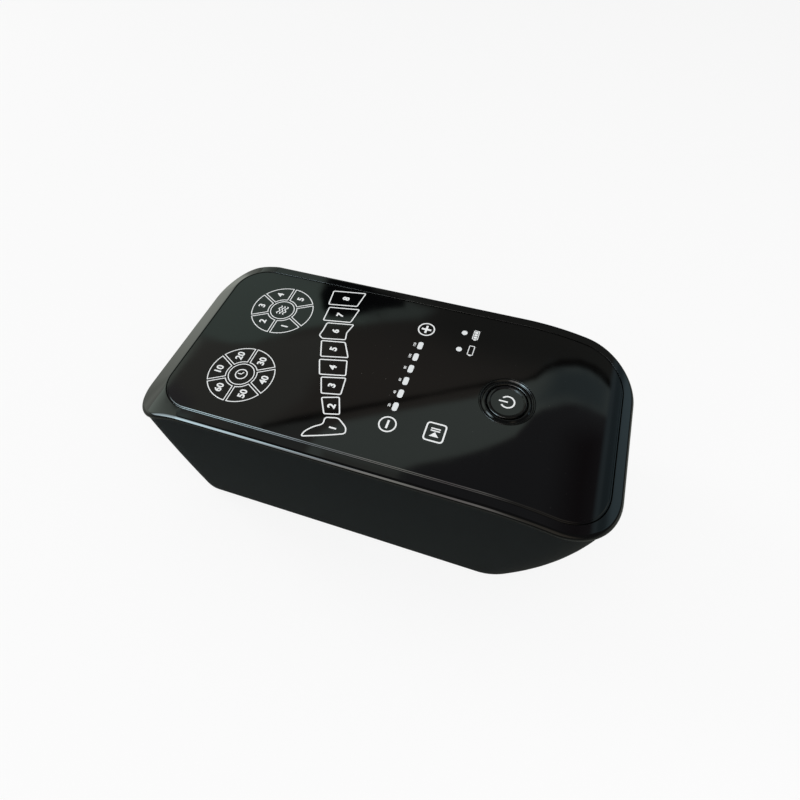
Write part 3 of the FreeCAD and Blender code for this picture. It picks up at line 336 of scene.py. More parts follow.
def crown(x, y):
    """Height of the top at x, y, with its slopes along X and Y."""
    if y < roll_start:
        run = roll_start - y
        rise = math.sqrt(roll_radius**2 - run**2)
        return top_z - roll_radius + rise, 0.0, run / rise
    beside, ahead = max(abs(x) - bevel_x, 0.0), y - bevel_y
    reach = math.hypot(beside, ahead)
    if ahead <= 0 or reach <= bevel_radius:
        return top_z, 0.0, 0.0
    turn = ahead / reach
    fall, fall_rate = eased(reach - bevel_radius, fold_soft)
    share, share_rate = (bevel_slope * (1 + fade_soft) * v for v in eased(turn, fade_soft))
    outward = share * fall_rate - share_rate * fall * turn / reach
    slope_x = -math.copysign(beside / reach, x) * outward
    slope_y = -turn * outward - share_rate * fall / reach
    return top_z - share * fall, slope_x, slope_y


roll_cuts = list(np.arange(-end_y + 1.0, roll_start, 2.0)) + [roll_start]
bevel_cuts = list(np.arange(bevel_y, panel_high.y, 1.5))
drops = [round(top_z - crown(0, y)[0], 1) for y in (-end_y, end_y)]
print("the top falls", drops[0], "mm at the user's end and", drops[1], "mm at the far end")

# %% [markdown]
# ## Mouldings made in flat space
# A plate that rolls could be modelled bent, but its rims, grooves and holes are far easier on a flat one.
# So each moulding is made flat: a plan outline is swept along an edge profile, plates are filled
# between rings, and only then is the whole cut across the roll and laid on the top.
# Every corner of every face remembers the true direction of its surface, so that a polished face
# mirrors like one smooth sheet, whatever triangles lie under it.

# %% Moulding
class Moulding:
    """A piece in flat space: x, y and the depth under its top face, in millimetres."""

    def __init__(self):
        self.mesh = bmesh.new()
        self.facing = self.mesh.loops.layers.float_vector.new("facing")
        self.known = {}

    def point(self, x, y, depth):
        spot = (round(x, 4), round(y, 4), round(depth, 4))
        if spot not in self.known:
            self.known[spot] = self.mesh.verts.new((x, y, -depth))
        return self.known[spot]

    def face(self, corners):
        """One face from (vertex, facing) pairs; corners that fall together count once."""
        kept = [c for i, c in enumerate(corners) if c[0] not in [d[0] for d in corners[:i]]]
        if len(kept) < 3:
            return
        made = self.mesh.faces.new([vertex for vertex, _ in kept])
        for loop, (_, facing) in zip(made.loops, kept):
            loop[self.facing] = facing

    def band(self, rows):
        """Faces between closed rows of (vertex, facing) pairs."""
        for low, high in zip(rows, rows[1:]):
            for k in range(len(low)):
                self.face([low[k - 1], low[k], high[k], high[k - 1]])

    def sweep(self, outline, profile):
        """Runs an edge profile round a plan outline."""
        for stretch in profile:
            self.band([[(self.point(x, y, depth), (nx * out, ny * out, up)) for x, y, nx, ny in outline(inset)]
                       for inset, depth, out, up in stretch])

    def loft(self, first, second, depth, up, shares):
        """Level face between two rings of as many points, with more rings between them."""
        rows = []
        for share in shares:
            pairs = zip(first, second)
            spots = [(a[0] + (b[0] - a[0]) * share, a[1] + (b[1] - a[1]) * share) for a, b in pairs]
            rows.append([(self.point(x, y, depth), (0, 0, up)) for x, y in spots])
        self.band(rows)

    def plate(self, rings, depth, up):
        """Flat face at one depth: the first ring is its rim, the others are its holes."""
        edges = []
        for ring in rings:
            spots = [self.point(x, y, depth) for x, y, _, _ in ring]
            for a, b in zip(spots, spots[1:] + spots[:1]):
                edges.append(self.mesh.edges.get((a, b)) or self.mesh.edges.new((a, b)))
        made = bmesh.ops.triangle_fill(self.mesh, use_beauty=True, edges=edges, normal=(0, 0, up))
        for item in made["geom"]:
            if isinstance(item, bmesh.types.BMFace):
                for loop in item.loops:
                    loop[self.facing] = (0, 0, up)

    def cut_across(self, stations):
        """Extra edges across the piece wherever it is going to bend."""
        for y in stations:
            everything = self.mesh.verts[:] + self.mesh.edges[:] + self.mesh.faces[:]
            plane = {"plane_co": (0, y, 0), "plane_no": (0, 1, 0), "dist": 1e-4}
            bmesh.ops.bisect_plane(self.mesh, geom=everything, **plane)

    def finish(self, name, material, lay):
        """Lays the piece in its place and returns it as an object. lay gives a point and turns a facing."""
        for face in self.mesh.faces:
            face.smooth = True
            for loop in face.loops:
                loop[self.facing] = lay(loop.vert.co, Vector(loop[self.facing]))[1]
        for vertex in self.mesh.verts:
            vertex.co = lay(vertex.co, Vector((0, 0, 1)))[0] * MM
        self.mesh.normal_update()
        for face in self.mesh.faces:
            wanted = sum((Vector(loop[self.facing]) for loop in face.loops), Vector())
            if face.normal.dot(wanted) < 0:
                face.normal_flip()
        data = bpy.data.meshes.new(name)
        self.mesh.to_mesh(data)
        self.mesh.free()
        facings = np.zeros(len(data.loops) * 3, np.float32)
        data.attributes["facing"].data.foreach_get("vector", facings)
        data.normals_split_custom_set(facings.reshape(-1, 3).tolist())
        data.attributes.remove(data.attributes["facing"])
        data.materials.append(material)
        return linked(name, data)


def crowned(spot, facing):
    """Lays a flat piece on the top."""
    height, slope_x, slope_y = crown(spot.x, spot.y)
    turned = Vector((facing.x - slope_x * facing.z, facing.y - slope_y * facing.z, facing.z)).normalized()
    return Vector((spot.x, spot.y, height + spot.z)), turned


def level(height):
    """Lays a piece flat at one height."""
    return lambda spot, facing: (Vector((spot.x, spot.y, height + spot.z)), facing.normalized())


def upright(face_y):
    """Stands a piece in the far end wall, with its top face towards +Y."""
    def lay(spot, facing):
        return Vector((spot.x, face_y + spot.z, spot.y)), Vector((facing.x, facing.z, facing.y)).normalized()
    return lay


# %% [markdown]
# ## Outlines and edge profiles
# An outline is a function of the inset, so that the same call draws the rim, the groove and every row of
# the rounded edge between them. A profile is a list of stretches, straight or round, traced from
# the outer wall's foot over the top and down the inside.

# %% Outlines
corner_steps = 20


def plan(x0, x1, y0, y1, r_low, r_high):
    """Rounded rectangle, with its own corner radius at each end."""
    def outline(inset):
        low_r, high_r = max(r_low - inset, 0.1), max(r_high - inset, 0.1)
        corners = [
            (x1 - inset - low_r, y0 + inset + low_r, low_r, -90),
            (x1 - inset - high_r, y1 - inset - high_r, high_r, 0),
            (x0 + inset + high_r, y1 - inset - high_r, high_r, 90),
            (x0 + inset + low_r, y0 + inset + low_r, low_r, 180),
        ]
        ring = []
        for cx, cy, radius, start in corners:
            for angle in np.radians(np.linspace(start, start + 90, corner_steps + 1)):
                nx, ny = math.cos(angle), math.sin(angle)
                ring.append((cx + radius * nx, cy + radius * ny, nx, ny))
        return ring
    return outline


def bar(x, y, size_x, size_y, radius):
    """Rounded rectangle round a middle point."""
    return plan(x - size_x / 2, x + size_x / 2, y - size_y / 2, y + size_y / 2, radius, radius)


def circle(x, y, radius, steps=128):
    """Round outline."""
    angles = np.radians(np.arange(steps) * 360.0 / steps)
    facings = [(math.cos(a), math.sin(a)) for a in angles]
    return lambda inset: [(x + (radius - inset) * nx, y + (radius - inset) * ny, nx, ny) for nx, ny in facings]


# %% Profile stretches
def straight(*corners):
    """Straight stretches through (inset, depth) corners, each facing squarely to its right."""
    made = []
    for (i0, d0), (i1, d1) in zip(corners, corners[1:]):
        length = math.hypot(i1 - i0, d1 - d0)
        out, up = (d0 - d1) / length, (i1 - i0) / length
        made.append([(i0, d0, out, up), (i1, d1, out, up)])
    return made


def arc(inset, depth, radius, start, end, steps=6, hollow=False):
    """Round stretch about a centre. 0 degrees faces outward and 90 faces up."""
    side = -1 if hollow else 1
    made = []
    for angle in np.radians(np.linspace(start, end, steps + 1)):
        out, up = math.cos(angle), math.sin(angle)
        made.append((inset - radius * out, depth - radius * up, side * out, side * up))
    return [made]


def joined(*stretches):
    """Round stretches in one run, each tied to the one before by a straight."""
    made = list(stretches[0])
    for stretch in stretches[1:]:
        made += straight(made[-1][-1][:2], stretch[0][0][:2]) + stretch
    return made


def hole(radius, low, high):
    """Profile of a hole with a rounded mouth, from the depth high down to the depth low."""
    mouth = arc(-radius, high + radius, radius, 90, 180) if radius else []
    return mouth + straight((0, high + radius), (0, low))


# %% [markdown]
# ## The cover
# The real cover is one injection moulding: a rim with a rounded edge, a shallow recess for the panel
# with a thin groove left round it, and holes for the lights and the power button. At the far end
# the panel butts against the bevel, so the groove closes there to a hair.

# %% Sizes shared by cover and panel
rim_fillet = 2.1
rim_depth = 3.0
rim_foot = 0.25
panel_depth = 1.8
skin_depth = 3.8
skin_inset = 3.6
panel_near_corner = 23.7
rim_near_corner, rim_far_corner = 31.0, 24.0
rim = plan(-half_width, half_width, -end_y, end_y, rim_near_corner, rim_far_corner)
panel_rim = plan(panel_low.x, panel_high.x, panel_low.y, panel_high.y, panel_near_corner, panel_corner)
recess = plan(panel_low.x - groove, panel_high.x + groove, panel_low.y - groove,
              panel_high.y + far_groove, panel_near_corner + groove, panel_corner + groove)
bevel_rows = (0, 0.04, 0.1, 0.2, 0.35, 0.5, 0.65, 0.8, 0.9, 1)

button_low, button_high = millimetres("power_bezel")
button_y = middle("power_bezel")[1]
bezel_radius = (button_high.x - button_low.x) / 2
sleeve_radius = 12.4
seat_gap = 0.1

light_depth = 13.2
bar_window, bar_corner = (5.3, 2.85), 1.2
round_window = 1.62
pressure_lights = [f"pressure_light_{number}" for number in range(1, 7)]
light_windows = []
for name in pressure_lights + ["battery_light_low", "battery_light_full"]:
    low, high = millimetres(name)
    spot = (low + high) / 2
    if name in pressure_lights:
        window = bar(spot.x, spot.y, *bar_window, bar_corner)
    else:
        window = circle(spot.x, spot.y, round_window, 64)
    light_windows.append((name, window))
print("panel from", [round(v, 2) for v in panel_low], "to", [round(v, 2) for v in panel_high])
print("button at", round(button_y, 2))

# %% Cover mesh
cover = Moulding()
cover.sweep(rim, straight((skin_inset, skin_depth), (skin_inset, rim_depth), (rim_foot, rim_depth)))
cover.sweep(rim, arc(rim_foot, rim_depth - rim_foot, rim_foot, -90, 0, 4))
cover.sweep(rim, straight((0, rim_depth - rim_foot), (0, rim_fillet)))
cover.sweep(rim, arc(rim_fillet, rim_fillet, rim_fillet, 0, 90, 14))
cover.loft(recess(-recess_edge), rim(rim_fillet), 0, 1, bevel_rows)
cover.sweep(recess, arc(-recess_edge, recess_edge, recess_edge, 90, 180, 4))
cover.sweep(recess, straight((0, recess_edge), (0, panel_depth)))
openings = [window for _, window in light_windows] + [circle(0, button_y, sleeve_radius + seat_gap)]
cover.plate([recess(0)] + [o(0) for o in openings], panel_depth, 1)
for opening in openings:
    cover.sweep(opening, hole(0, skin_depth, panel_depth))
cover.loft(recess(0), rim(skin_inset), skin_depth, -1, bevel_rows)
cover.plate([recess(0)] + [o(0) for o in openings], skin_depth, -1)
cover.cut_across(roll_cuts + bevel_cuts)
cover_shell = cover.finish("gloss_cover", gloss_cover, crowned)
dress(cover_shell, "housing", "gloss_black", "top_cover")

# %% [markdown]
# ## The touch panel
# A polished acrylic plate lies in the recess, flush with the cover. Its prints lie on top of it, and the
# light guides stand in close holes. Its rim is milled in two small steps, as on a plate that drops into
# a frame: each step has a slanting face a few tenths of a millimetre wide, and together they draw the
# fine double line round the panel. The rest has to stay a perfect mirror.

# %% Panel mesh
window_edge = 0.12
shoulder = ((0, 0.42), (0.26, 0.2), (0.8, 0.2), (1.04, 0))
bezel_mouth = circle(0, button_y, bezel_radius + seat_gap)
panel = Moulding()
panel.sweep(panel_rim, straight((0, panel_depth), *shoulder))
openings = [window for _, window in light_windows] + [bezel_mouth]
panel.plate([panel_rim(shoulder[-1][0])] + [o(-window_edge) for o in openings], 0, 1)
for opening in openings:
    panel.sweep(opening, hole(window_edge, panel_depth, 0))
panel.plate([panel_rim(0)] + [o(0) for o in openings], panel_depth, -1)
panel.cut_across(roll_cuts)
panel_plate = panel.finish("touch_panel", gloss_panel, crowned)
dress(panel_plate, "housing", "gloss_black", "control_panel")

# %% [markdown]
# ## Light guides
# Each light is the polished end of a milky plastic pin that stands over its lamp. It ends flush with the
# panel, with a hair of rounding that catches a bright line.

# %% Light guides
guide_foot = 0.8
foot_top = skin_depth
foot_low = foot_top + 1.2
edge = window_edge
for name, window in light_windows:
    guide = Moulding()
    guide.sweep(window, straight((0, light_depth), (0, foot_low), (-guide_foot, foot_low),
                                 (-guide_foot, foot_top), (0, foot_top), (0, edge)))
    guide.sweep(window, arc(edge, edge, edge, 0, 90, 4))
    guide.plate([window(edge)], 0, 1)
    guide.plate([window(0)], light_depth, -1)
    dress(guide.finish(f"guide_{name}", milky_guide, level(top_z)), "housing", "light_white", name)

# %% [markdown]
# ## Bezel and power cap
# The only real button is a round cap inside a dished ring. Both could be revolved in one stroke; here
# their profile is swept round a circle with the same helper as the cover, so that their rounded
# lips, the hollow between them and the raised bead keep exact normals. The ring follows the panel's
# roll, while the cap travels straight down and so has a level top.

# %% Bezel
bore_radius = 10.65
lip = 0.4
hollow = 0.5
bead = 0.85
bead_top = 0.25
sleeve_depth = 7.0
bezel_outline = circle(0, button_y, bezel_radius)


def from_edge(radius):
    """Inset from the bezel's rim of a given radius."""
    return bezel_radius - radius


valley = from_edge(12.86)
valley_depth = 0.9
bore_inset = from_edge(bore_radius)
bezel = Moulding()
bezel.sweep(bezel_outline, straight(
    (bore_inset, sleeve_depth), (from_edge(sleeve_radius), sleeve_depth),
    (from_edge(sleeve_radius), panel_depth), (0, panel_depth), (0, lip)))
lip_arc = arc(lip, lip, lip, 0, 150, 14)
valley_arc = arc(valley, valley_depth - hollow, hollow, -30, -124, 12, hollow=True)
bead_arc = arc(from_edge(bore_radius + bead), bead_top + bead, bead, 56, 180, 16)
bezel.sweep(bezel_outline, joined(lip_arc, valley_arc, bead_arc))
bezel.sweep(bezel_outline, straight(bead_arc[0][-1][:2], (bore_inset, sleeve_depth)))
bezel.cut_across([y for y in roll_cuts if abs(y - button_y) < bezel_radius])
bezel_ring = bezel.finish("power_ring", gloss_button, crowned)
dress(bezel_ring, "housing", "gloss_black", "power_bezel")

# %% Power cap
cap_radius = 10.05
cap_sink = 0.3
cap_edge = 0.6
dish_radius = 8.5
dish_depth = 0.8
dish_sag = 0.06
flange_radius = 11.95
flange_top = 7.05
flange_low = 8.05
post_radius = 1.6
post_low = 8.85
cap_outline = circle(0, button_y, cap_radius)


def dish(radius):
    """Depth of the cap's face at a radius, and how steeply it falls inward."""
    share = radius / dish_radius
    return dish_depth + dish_sag * (1 - share**2), 2 * dish_sag * share / dish_radius


def cap_inset(radius):
    return cap_radius - radius


dish_rows = []
step_half = 0.35
step_radius = 0.25
step_drop = 0.3
for radius in np.linspace(dish_radius - step_half, 0, 12):
    depth, fall = dish(radius)
    tilt = math.hypot(1, fall)
    dish_rows.append((cap_inset(radius), depth, -fall / tilt, 1 / tilt))
cap = Moulding()
post, flange = cap_inset(post_radius), cap_inset(flange_radius)
cap.sweep(cap_outline, straight(
    (cap_inset(0), post_low), (post, post_low), (post, flange_low), (flange, flange_low), (flange, flange_top),
    (0, flange_top), (0, cap_sink + cap_edge)))
edge_arc = arc(cap_edge, cap_sink + cap_edge, cap_edge, 0, 90, 10)
step_arc = arc(cap_inset(dish_radius + step_half), cap_sink + step_drop, step_radius, 95, 160, 6)
foot_inset = cap_inset(dish_radius - step_half)
foot_arc = arc(foot_inset, dish_depth - step_radius, step_radius, -20, -88, 6, hollow=True)
cap.sweep(cap_outline, joined(edge_arc, step_arc, foot_arc, [dish_rows]))
power_cap = cap.finish("power_cap", gloss_button, level(top_z))
dress(power_cap, "power_key", "gloss_black", "power_button")

# %% [markdown]
# ## The tub
# The lower housing is deep and its end walls curve inward, the user's end most. No flat outline can be
# swept to that, so the tub is a grid: each row is the wall's plan outline at one height, with quarter
# ellipses for corners, and each column runs from the seam down the wall, round the bottom edge and
# onto the underside. The first row is not level: it follows the top, a seam's width under the cover.

# %% A point of the tub's wall
tub_step = 1.2
tub_wall = 2.3
tub_bottom = millimetres("lower_housing")[0].z
tub_floor = 2.5
floor_top = tub_bottom + tub_floor
seam_gap = 0.4
seam_depth = rim_depth + seam_gap
side_draft = math.tan(math.radians(0.9))
bottom_fillet = 3.5
side_steps = 64
end_steps = 12


class EndWall:
    """End wall that curves in by sweep over the tub's depth, with its plan corner radius."""

    def __init__(self, side, sweep, corner):
        drop = top_z - tub_bottom
        self.side = side
        self.corner = corner
        self.radius = (drop**2 + sweep**2) / (2 * sweep)
        self.middle = side * (end_y - tub_step - self.radius)

    def reach(self, z, inset):
        """Y of the wall at a height, and how far its corners stretch along Y."""
        lean = math.asin((top_z - z) / (self.radius - inset))
        y = self.middle + self.side * (self.radius - inset) * math.cos(lean)
        return y, (self.corner - inset) / math.cos(lean)


user_wall = EndWall(-1, 26.0, 28.0)
far_wall = EndWall(1, 7.5, 21.0)
corners = [(user_wall, 1, -90), (far_wall, 1, 0), (far_wall, -1, 90), (user_wall, -1, 180)]


def corner_spot(corner, turn, z, inset):
    """Point on one upright corner; turn runs from 0 to 1 round it."""
    wall, side, start = corners[corner]
    y, along = wall.reach(z, inset)
    across = wall.corner - inset
    half = half_width - tub_step - inset - (top_z - z) * side_draft
    angle = math.radians(start + 90 * turn)
    x = side * (half - across) + across * math.cos(angle)
    return Vector((x, y - wall.side * along + along * math.sin(angle), z))


def wall_spot(column, z, inset=0.0):
    """Point of the wall at a height. A column is a corner and its turn, past 1 on the straight after it."""
    corner, turn = column
    if turn <= 1:
        return corner_spot(corner, turn, z, inset)
    last = corner_spot(corner, 1, z, inset)
    return last.lerp(corner_spot((corner + 1) % 4, 0, z, inset), turn - 1)


# %% Columns of the grid
columns = []
for corner in range(4):
    steps = side_steps if corner in (0, 2) else end_steps
    columns += [(corner, k / corner_steps) for k in range(corner_steps)]
    columns += [(corner, 1 + k / steps) for k in range(steps)]
print("the wall has", len(columns), "columns; its user end is at", round(user_wall.reach(tub_bottom, 0)[0], 1))


# %% Rows of the grid
def under_line(column, inset, depth):
    """Height where a column meets the top lowered by depth, found by stepping to it."""
    z = top_z - depth
    for _ in range(12):
        spot = wall_spot(column, z, inset)
        z = crown(spot.x, spot.y)[0] - depth
    return z


def bottom_round(column, steps):
    """Points of the rounded edge between wall and underside, as a rational quadratic curve."""
    corner = wall_spot(column, tub_bottom)
    rise = (wall_spot(column, tub_bottom + 1) - corner).normalized()
    at = columns.index(column)
    along = wall_spot(columns[(at + 1) % len(columns)], tub_bottom) - wall_spot(columns[at - 1], tub_bottom)
    inward = Vector((-along.y, along.x, 0)).normalized()
    half_opening = rise.angle(inward) / 2
    tangent = bottom_fillet / math.tan(half_opening)
    start, end, weight = corner + rise * tangent, corner + inward * tangent, math.sin(half_opening)
    spots = []
    for t in np.linspace(0, 1, steps + 1):
        a, b, c = (1 - t) ** 2, 2 * t * (1 - t) * weight, t**2
        spots.append((start * a + corner * b + end * c) / (a + b + c))
    return spots


def wall_rows(inset, top_depth, low, steps, rounded):
    """Rows of points from under the top down to low, and round the bottom edge if wanted."""
    grid = []
    for column in columns:
        tail = bottom_round(column, 8) if rounded else [wall_spot(column, low, inset)]
        high = under_line(column, inset, top_depth)
        heights = np.linspace(high, tail[0].z, steps + 1)[:-1]
        grid.append([wall_spot(column, z, inset) for z in heights] + tail)
    return list(zip(*grid))


def ring_of(row):
    """A row of points as an outline ring."""
    return [(spot.x, spot.y, 0, 0) for spot in row]


def skin(mesh, rows):
    """Faces between rows of points."""
    mesh.band([[(mesh.point(p.x, p.y, -p.z), (0, 0, 0)) for p in row] for row in rows])


# %% [markdown]
# The underside of such a tub is busy: recesses for the feet, deep counterbores for the case screws, and a
# row of slots where the pump draws its air. They are holes of the floor plates, with walls between the
# plates, so the tub stays one closed solid that can be cut by the socket holes afterwards.

# %% Tub mesh
foot_radius = 6.0
screw_x, screw_rows = 42.0, (-80.0, 102.0)
screw_spots = [(side * screw_x, y) for y in screw_rows for side in (-1, 1)]
foot_spots = [middle(f"foot_{number}") for number in (1, 2, 3, 4)]
foot_recess = 1.0
recess_top = tub_bottom + foot_recess
counterbore = 3.05
counterbore_top = 52.0
boss_radius = 4.6
boss_top = 60.0
screw_way = 1.7
slot_count = 7
slot_pitch = 5.0
slot_middle = (26.0, 20.0)
slot_size, slot_corner = (26.0, 2.0), 0.9

tub = Moulding()
outer = wall_rows(0, seam_depth, tub_bottom, 24, True)
inner = wall_rows(tub_wall, seam_depth, floor_top, 12, False)
skin(tub, outer)
skin(tub, inner)
skin(tub, [outer[0], inner[0]])
feet = [circle(x, y, foot_radius, 72) for x, y in foot_spots]
bores = [circle(x, y, counterbore, 48) for x, y in screw_spots]
slot_rows = [slot_middle[1] + (k - (slot_count - 1) / 2) * slot_pitch for k in range(slot_count)]
slots = [bar(slot_middle[0], y, *slot_size, slot_corner) for y in slot_rows]
slot_mouth = 0.3
under_holes = [o(0) for o in feet + bores] + [o(-slot_mouth) for o in slots]
tub.plate([ring_of(outer[-1])] + under_holes, -tub_bottom, -1)
for foot in feet:
    tub.sweep(foot, straight((0, -tub_bottom), (0, -recess_top)))
    tub.plate([foot(0)], -recess_top, -1)
for slot in slots:
    tub.sweep(slot, straight((-slot_mouth, -tub_bottom), (0, -tub_bottom - slot_mouth), (0, -floor_top)))
bosses = []
for (x, y), bore in zip(screw_spots, bores):
    way, boss = circle(x, y, screw_way, 48), circle(x, y, boss_radius, 48)
    ledge = counterbore - screw_way
    tub.sweep(bore, straight((0, -tub_bottom), (0, -counterbore_top), (ledge, -counterbore_top)))
    tub.sweep(way, straight((0, -counterbore_top), (0, -boss_top), (screw_way - boss_radius, -boss_top)))
    tub.sweep(boss, straight((0, -boss_top), (0, -floor_top)))
    bosses.append(boss)
tub.plate([ring_of(inner[-1])] + [o(0) for o in slots + bosses], -floor_top, 1)
print("tub grid has", len(tub.mesh.faces), "faces")


# %% Solid from a plain mesh
def solid(name, mesh, material, sharp):
    """Object from a closed mesh in millimetres: smooth, with sharp edges past an angle."""
    bmesh.ops.recalc_face_normals(mesh, faces=mesh.faces)
    bmesh.ops.scale(mesh, vec=(MM, MM, MM), verts=mesh.verts)
    data = bpy.data.meshes.new(name)
    mesh.to_mesh(data)
    mesh.free()
    if "facing" in data.attributes:
        data.attributes.remove(data.attributes["facing"])
    data.shade_smooth()
    data.set_sharp_from_angle(angle=math.radians(sharp))
    data.materials.append(material)
    return linked(name, data)


def cut_with(target, tools):
    """Cuts tools out of an object for good and removes the tools."""
    for tool in tools:
        cutter = target.modifiers.new("cut", "BOOLEAN")
        cutter.operation = "DIFFERENCE"
        cutter.solver = "EXACT"
        cutter.object = tool
    ready = bpy.context.evaluated_depsgraph_get()
    data = bpy.data.meshes.new_from_object(target.evaluated_get(ready))
    target.modifiers.clear()
    target.data = data
    for tool in tools:
        bpy.data.objects.remove(tool)


# %% Tub with its end wall holes
tub_sharp = 35.0
socket_x = 26.0
socket_z = 48.0
body_size, body_corner = (38.0, 18.0), 3.0
socket_reach = 13.5
socket_back = end_y - socket_reach
inlet_z = 22.0
barrel_radius = 5.5
tool_clearance = 0.15
tool_out, tool_in = -4.0, 12.0
tool_face = end_y - 2.0
hole_size = [size + 2 * tool_clearance for size in body_size]
wall_holes = [bar(x, socket_z, *hole_size, body_corner) for x in (-socket_x, socket_x)]
wall_holes.append(circle(0, inlet_z, barrel_radius + tool_clearance, 64))
hole_tools = []
for number, outline in enumerate(wall_holes):
    tool = Moulding()
    tool.sweep(outline, straight((0, tool_in), (0, tool_out)))
    tool.plate([outline(0)], tool_in, -1)
    tool.plate([outline(0)], tool_out, 1)
    hole_tools.append(tool.finish(f"hole_tool_{number}", satin_tub, upright(tool_face)))
tub_shell = solid("satin_tub", tub.mesh, satin_tub, tub_sharp)
cut_with(tub_shell, hole_tools)
tub_shell.data.set_sharp_from_angle(angle=math.radians(tub_sharp))
dress(tub_shell, "housing", "housing_black", "lower_housing")

# %% [markdown]
# ## Hose sockets and charging inlet
# Each sleeve's hose bundle plugs into one socket with eight air ways. A socket is a moulding of its own
# with a flange that stands proud of the wall. It is built like the cover, only stood upright: the plan
# outline now lies in the wall and the depth runs into the housing.

# %% Sockets
def collar(depth, edge):
    """Profile of a flange's outer wall with a rounded front edge."""
    return straight((0, depth), (0, edge)) + arc(edge, edge, edge, 0, 90, 8)


flange_size, flange_corner = (44.0, 24.0), 5.0
flange_depth, flange_edge = 3.6, 0.9
pocket_size, pocket_corner = (34.0, 14.0), 2.5
pocket_depth, pocket_mouth = 8.0, 0.5
way_radius, way_mouth = 1.9, 0.25
way_x, way_z = 4.0, 3.2
for side, name in ((-1, "air_socket_left"), (1, "air_socket_right")):
    face_y = millimetres(name)[1].y
    x = side * socket_x
    flange = bar(x, socket_z, *flange_size, flange_corner)
    body = bar(x, socket_z, *body_size, body_corner)
    pocket = bar(x, socket_z, *pocket_size, pocket_corner)
    ways = [circle(x + column * way_x, socket_z + row * way_z, way_radius, 40)
            for row in (-1, 1) for column in (-3, -1, 1, 3)]
    deep = face_y - socket_back
    socket = Moulding()
    socket.sweep(flange, collar(flange_depth, flange_edge))
    socket.plate([flange(flange_edge), pocket(-pocket_mouth)], 0, 1)
    socket.sweep(pocket, hole(pocket_mouth, pocket_depth, 0))
    socket.plate([pocket(0)] + [way(-way_mouth) for way in ways], pocket_depth, 1)
    for way in ways:
        socket.sweep(way, hole(way_mouth, deep, pocket_depth))
    socket.plate([body(0)] + [way(0) for way in ways], deep, -1)
    socket.sweep(body, straight((0, deep), (0, flange_depth)))
    socket.plate([flange(0), body(0)], flange_depth, -1)
    dress(socket.finish(f"hose_{name}", satin_socket, upright(face_y)), "housing", "housing_black", name)

# %% Inlet
inlet_face = millimetres("dc_inlet")[1].y
inlet_rim, inlet_bore = 7.5, 3.2
inlet_deep = 16.0
inlet_flange, inlet_edge = 3.0, 0.6
bore_deep = 10.0
rim_round = circle(0, inlet_z, inlet_rim, 96)
barrel = circle(0, inlet_z, barrel_radius, 96)
mouth = circle(0, inlet_z, inlet_bore, 64)
inlet = Moulding()
inlet.sweep(rim_round, collar(inlet_flange, inlet_edge))
inlet.plate([rim_round(inlet_edge), mouth(-pocket_mouth)], 0, 1)
inlet.sweep(mouth, hole(pocket_mouth, bore_deep, 0))
inlet.plate([mouth(0)], bore_deep, 1)
inlet.plate([rim_round(0), barrel(0)], inlet_flange, -1)
inlet.sweep(barrel, straight((0, inlet_deep), (0, inlet_flange)))
inlet.plate([barrel(0)], inlet_deep, -1)
dress(inlet.finish("charge_inlet", satin_socket, upright(inlet_face)), "housing", "housing_black", "dc_inlet")
pin_radius, pin_tip, pin_edge = 1.0, 5.0, 0.4
pin_outline = circle(0, inlet_z, pin_radius, 32)
pin = Moulding()
pin.sweep(pin_outline, straight((0, bore_deep), (0, pin_tip + pin_edge)))
pin.sweep(pin_outline, arc(pin_edge, pin_tip + pin_edge, pin_edge, 0, 90, 5))
pin.plate([pin_outline(pin_edge)], pin_tip, 1)
pin.plate([pin_outline(0)], bore_deep, -1)
dress(pin.finish("charge_pin", bright_pin, upright(inlet_face)), "housing", "steel")
print("sockets stand at", round(face_y, 2), "and the inlet at", round(inlet_face, 2))

# %% [markdown]
# ## Feet
# Four moulded rubber pads keep the pump from creeping as it hums. Each has a rounded tread edge and a
# shallow ring pressed into its tread, as moulded pads have.

# %% Feet
def underside(spot, facing):
    """Turns a flat piece over, with its top face on the ground."""
    return Vector((spot.x, spot.y, -spot.z)), Vector((facing.x, facing.y, -facing.z))


tread = 0.8
ring_out, ring_in = 2.0, 3.0
ring_slant = 0.3
ring_depth = 0.5
for number, (x, y) in enumerate(foot_spots, 1):
    outline = circle(x, y, foot_radius, 72)
    pad = Moulding()
    pad.sweep(outline, straight((0, recess_top), (0, tread)) + arc(tread, tread, tread, 0, 90, 7))
    pad.sweep(outline, straight((tread, 0), (ring_out, 0), (ring_out + ring_slant, ring_depth),
                                (ring_in + ring_slant, ring_depth), (ring_in + 2 * ring_slant, 0)))
    pad.plate([outline(ring_in + 2 * ring_slant)], 0, 1)
    pad.plate([outline(0)], recess_top, -1)
    pad_piece = pad.finish(f"rubber_foot_{number}", foot_rubber, underside)
    dress(pad_piece, "housing", "rubber_black", f"foot_{number}")
print("feet at", [(round(x), round(y)) for x, y in foot_spots])

# %% [markdown]
# ## Printed keys
# The touch keys have no travel: they are white outlines silk-screened on the panel. An image would do for
# one view, but the prints are also looked at closely, so each line is a thin strip of ink of its own,
# a few hundredths of a millimetre thick, with mitred corners.

# %% Ink
ink_sunk = 0.02


